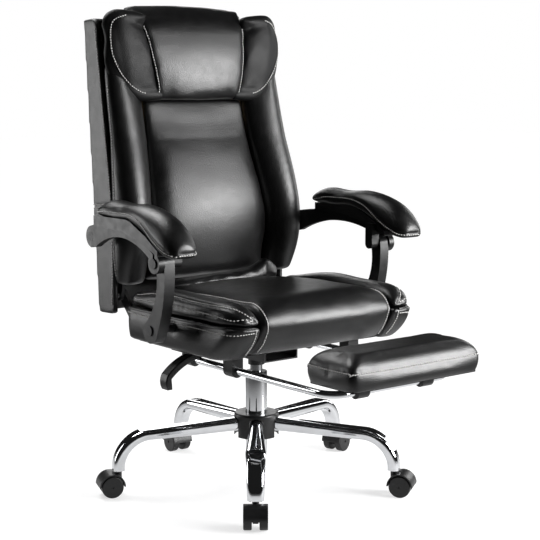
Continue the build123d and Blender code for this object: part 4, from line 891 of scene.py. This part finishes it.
def roll_flank(side, shift):
    """Up the outer flank of a back bolster, just clear of the band."""
    profile = ((0.09, 0.086), (0.17, 0.094), (0.26, 0.102), (0.36, 0.098), (0.46, 0.086), (0.53, 0.080))
    return [back_point(side * ROLL_FLANK_X, h, d + shift) for h, d in profile]


def band_welt(side, h):
    """Across the side band at one height."""
    return [back_point(side * BAND_FACE_X, h, d) for d in (0.004, 0.03, 0.06, 0.086)]


def rear_border(inset):
    """Round the rear panel of the back, inside its edge."""
    half = REAR_HALF - inset
    corners = []
    for across, up in ((1, 0), (1, 1), (-1, 1), (-1, 0)):
        h = REAR_HEIGHT - inset if up else inset
        near = (across * (half - REAR_CORNER), h)
        far = (across * half, h - REAR_CORNER if up else h + REAR_CORNER)
        corners.extend((near, far) if (across > 0) != bool(up) else (far, near))
    corners.append(corners[0])
    return [back_point(x, h, REAR_SEAM_DEPTH) for x, h in corners]


def rear_cross(h):
    """Across the rear panel at one height."""
    return [back_point(x, h, REAR_SEAM_DEPTH) for x in (-0.226, -0.10, 0.0, 0.10, 0.226)]


def rest_line(z):
    """Round the footrest pad at one level."""
    corners = []
    for across, along in ((1, 1), (-1, 1), (-1, -1), (1, -1)):
        near = (across * (REST_HALF - REST_CORNER), REST_CENTRE_Y + along * REST_HALF_DEPTH, z)
        far = (across * REST_HALF, REST_CENTRE_Y + along * (REST_HALF_DEPTH - REST_CORNER), z)
        corners.extend((near, far) if across * along < 0 else (far, near))
    corners.append(corners[0])
    return [Vector(corner) for corner in corners]


def pad_line(side, drop):
    """Along an arm pad's outer face, round its tip and back along its inner face."""
    profile = ((0.125, 0.648), (0.05, 0.656), (-0.01, 0.655), (-0.06, 0.641), (-0.11, 0.609), (-0.16, 0.585))
    outer = [(PAD_OUTER_X, y, z - drop) for y, z in profile]
    tip = [((PAD_OUTER_X + PAD_INNER_X) / 2, -0.187, 0.580 - drop)]
    inner = [(PAD_INNER_X, y, z - drop) for y, z in reversed(profile)]
    return sided(side, outer + tip + inner)


seat_rows = []
back_rows = []
for side_name, side in SIDES:
    pillow = seat_pillows[side_name]
    for share in PILLOW_SEAMS:
        press_seam(pillow, pillow_line(side, share), depth=0.0020, width=0.005, pucker=0.3)
        seat_rows.append((pillow, pillow_line(side, share)))
    press_seam(seat_band, base_edge(side, BASE_SEAM_Z), depth=0.0020, width=0.006)
    seat_rows.append((seat_band, base_edge(side, BASE_SEAM_Z)))
    press_seam(seat_panel, nose_line(side * PANEL_SEAM_X), depth=0.0012, width=0.004)
    seat_rows.append((seat_panel, nose_line(side * PANEL_THREAD_X)))
    seat_rows.append((seat_band, band_corner(side, CORNER_THREAD_X)))
    press_seam(headrest, headrest_seam(side, shift=-0.006), depth=0.0018, width=0.005)
    back_rows.append((headrest, headrest_seam(side, shift=-0.008)))
    wing = wings[side_name]
    press_seam(wing, wing_edge(side, inset=0.0085), depth=0.0016, width=0.004, pucker=0.2)
    back_rows.append((wing, wing_edge(side, inset=0.013)))
    roll = back_rolls[side_name]
    press_seam(roll, roll_flank(side, shift=0.006), depth=0.0020, width=0.005)
    back_rows.append((roll, roll_flank(side, shift=0.006)))
    back_rows.append((back_cover, band_edge(side, inset=0.008)))
    press_seam(back_cover, band_welt(side, WELT_HEIGHT), depth=0.0022, width=0.005)
    for offset in (-ROW_OFFSET, ROW_OFFSET):
        back_rows.append((back_cover, band_welt(side, WELT_HEIGHT + offset)))
    pad = arm_cushions[side_name]
    press_seam(pad, pad_line(side, drop=0.0), depth=0.0018, width=0.004)
    sew(f"arm_thread_{side_name}", f"arm_{side_name}", [(pad, pad_line(side, drop=0.004))])
    pipe(f"seat_piping_{side_name}", "seat", base_edge(side, PIPING_Z, PIPING_INSET), seat_band)

press_seam(back_cover, rear_border(inset=0.022), depth=0.0020, width=0.005)
press_seam(back_cover, rear_cross(CROSS_HEIGHT), depth=0.0022, width=0.005)
back_rows.append((back_cover, rear_border(inset=0.026)))
for offset in (-ROW_OFFSET, ROW_OFFSET):
    back_rows.append((back_cover, rear_cross(CROSS_HEIGHT + offset)))
press_seam(footrest, rest_line(REST_SEAM_Z), depth=0.0025, width=0.005, pucker=0.2)
sew("seat_thread", "seat", seat_rows)
sew("back_thread", "back", back_rows)
sew("footrest_thread", "footrest_pad", [(footrest, rest_line(REST_THREAD_Z))])


# Studio


def seen_in_mirrors(tree, value):
    """The value for mirror and glass rays, otherwise 0."""
    path = tree.nodes.new("ShaderNodeLightPath")
    either = tree.nodes.new("ShaderNodeMath")
    either.operation = "MAXIMUM"
    tree.links.new(path.outputs["Is Glossy Ray"], either.inputs[0])
    tree.links.new(path.outputs["Is Transmission Ray"], either.inputs[1])
    share = tree.nodes.new("ShaderNodeMath")
    share.operation = "MULTIPLY"
    tree.links.new(either.outputs[0], share.inputs[0])
    tree.links.new(value, share.inputs[1])
    return share.outputs[0]


def fade(material, distance, near, far, first, last):
    """A value that goes from first to last between two distances."""
    made = add_node(material, "ShaderNodeMapRange", From_Min=near, From_Max=far, To_Min=first, To_Max=last)
    join(material, distance, made.inputs["Value"])
    return made.outputs["Result"]


def make_floor():
    """White floor: part of its white is its own and the rest is lit, so the chair's shadow shows near it."""
    bpy.ops.mesh.primitive_plane_add(size=40, location=(0, 0, 0))
    floor = bpy.context.object
    floor.name = "studio_floor"
    material = new_material("studio_white", (0.5, 0.5, 0.5), 0.8)
    tree = material.node_tree
    place = tree.nodes.new("ShaderNodeTexCoord")
    length = tree.nodes.new("ShaderNodeVectorMath")
    length.operation = "LENGTH"
    join(material, place.outputs["Object"], length.inputs[0])
    distance = length.outputs["Value"]
    own_white = fade(material, distance, SHADOW_NEAR, SHADOW_FAR, first=0.62, last=1.0)
    mirror_white = fade(material, distance, MIRROR_NEAR, MIRROR_FAR, first=0.30, last=0.03)
    lit_white = fade(material, distance, MIRROR_NEAR, MIRROR_FAR, first=0.5, last=0.03)
    join(material, lit_white, shader_of(material).inputs["Base Color"])
    path = tree.nodes.new("ShaderNodeLightPath")
    share = tree.nodes.new("ShaderNodeMix")
    join(material, path.outputs["Is Camera Ray"], share.inputs["Factor"])
    join(material, seen_in_mirrors(tree, mirror_white), share.inputs["A"])
    join(material, own_white, share.inputs["B"])
    glow = add_node(material, "ShaderNodeEmission", Color=(1, 1, 1, 1))
    join(material, share.outputs["Result"], glow.inputs["Strength"])
    both = tree.nodes.new("ShaderNodeAddShader")
    join(material, shader_of(material).outputs[0], both.inputs[0])
    join(material, glow.outputs[0], both.inputs[1])
    join(material, both.outputs[0], tree.nodes["Material Output"].inputs["Surface"])
    floor.data.materials.append(material)


def make_world():
    """White behind the chair, dim grey to reflections, an even fill to the rest."""
    world = bpy.data.worlds.new("studio")
    scene.world = world
    world.use_nodes = True
    tree = world.node_tree
    path = tree.nodes.new("ShaderNodeLightPath")
    fill = tree.nodes["Background"]
    fill.inputs["Color"].default_value = (0.09, 0.09, 0.093, 1)
    light = fill.outputs[0]
    for ray, grey in (("Is Glossy Ray", 0.012), ("Is Camera Ray", 1.0)):
        shade = tree.nodes.new("ShaderNodeBackground")
        shade.inputs["Color"].default_value = (grey, grey, grey, 1)
        mix = tree.nodes.new("ShaderNodeMixShader")
        tree.links.new(path.outputs[ray], mix.inputs["Fac"])
        tree.links.new(light, mix.inputs[1])
        tree.links.new(shade.outputs[0], mix.inputs[2])
        light = mix.outputs[0]
    tree.links.new(light, tree.nodes["World Output"].inputs["Surface"])


def add_softbox(name, place, target, width, height, power):
    data = bpy.data.lights.new(name, "AREA")
    data.shape = "RECTANGLE"
    data.size = width
    data.size_y = height
    data.energy = power
    lamp = bpy.data.objects.new(name, data)
    lamp.location = place
    lamp.rotation_euler = (Vector(target) - Vector(place)).to_track_quat("-Z", "Y").to_euler()
    scene.collection.objects.link(lamp)


def add_camera():
    data = bpy.data.cameras.new("camera")
    data.lens = CAMERA_LENS
    data.sensor_width = 36
    camera = bpy.data.objects.new("camera", data)
    camera.location = CAMERA_PLACE
    camera.rotation_euler = (CAMERA_PITCH, 0, CAMERA_TURN)
    scene.collection.objects.link(camera)
    scene.camera = camera


make_floor()
make_world()
add_softbox("key", (1.5, -1.95, 1.16), target=(0, 0.1, 0.80), width=1.4, height=1.5, power=126)
add_softbox("top", (-0.4, 1.3, 2.5), target=(0, 0, 0.6), width=1.2, height=1.2, power=40)
add_softbox("side_left", (-1.7, 2.4, 0.8), target=(-0.1, 0.2, 0.7), width=1.3, height=1.6, power=24)
add_softbox("side_right", (2.6, 0.5, 1.1), target=(0, 0.1, 0.7), width=0.4, height=1.8, power=13)
add_softbox("rear", (1.5, 2.6, 1.5), target=(0, 0.2, 0.7), width=1.4, height=1.4, power=18)
add_camera()
scene.view_settings.view_transform = "Standard"
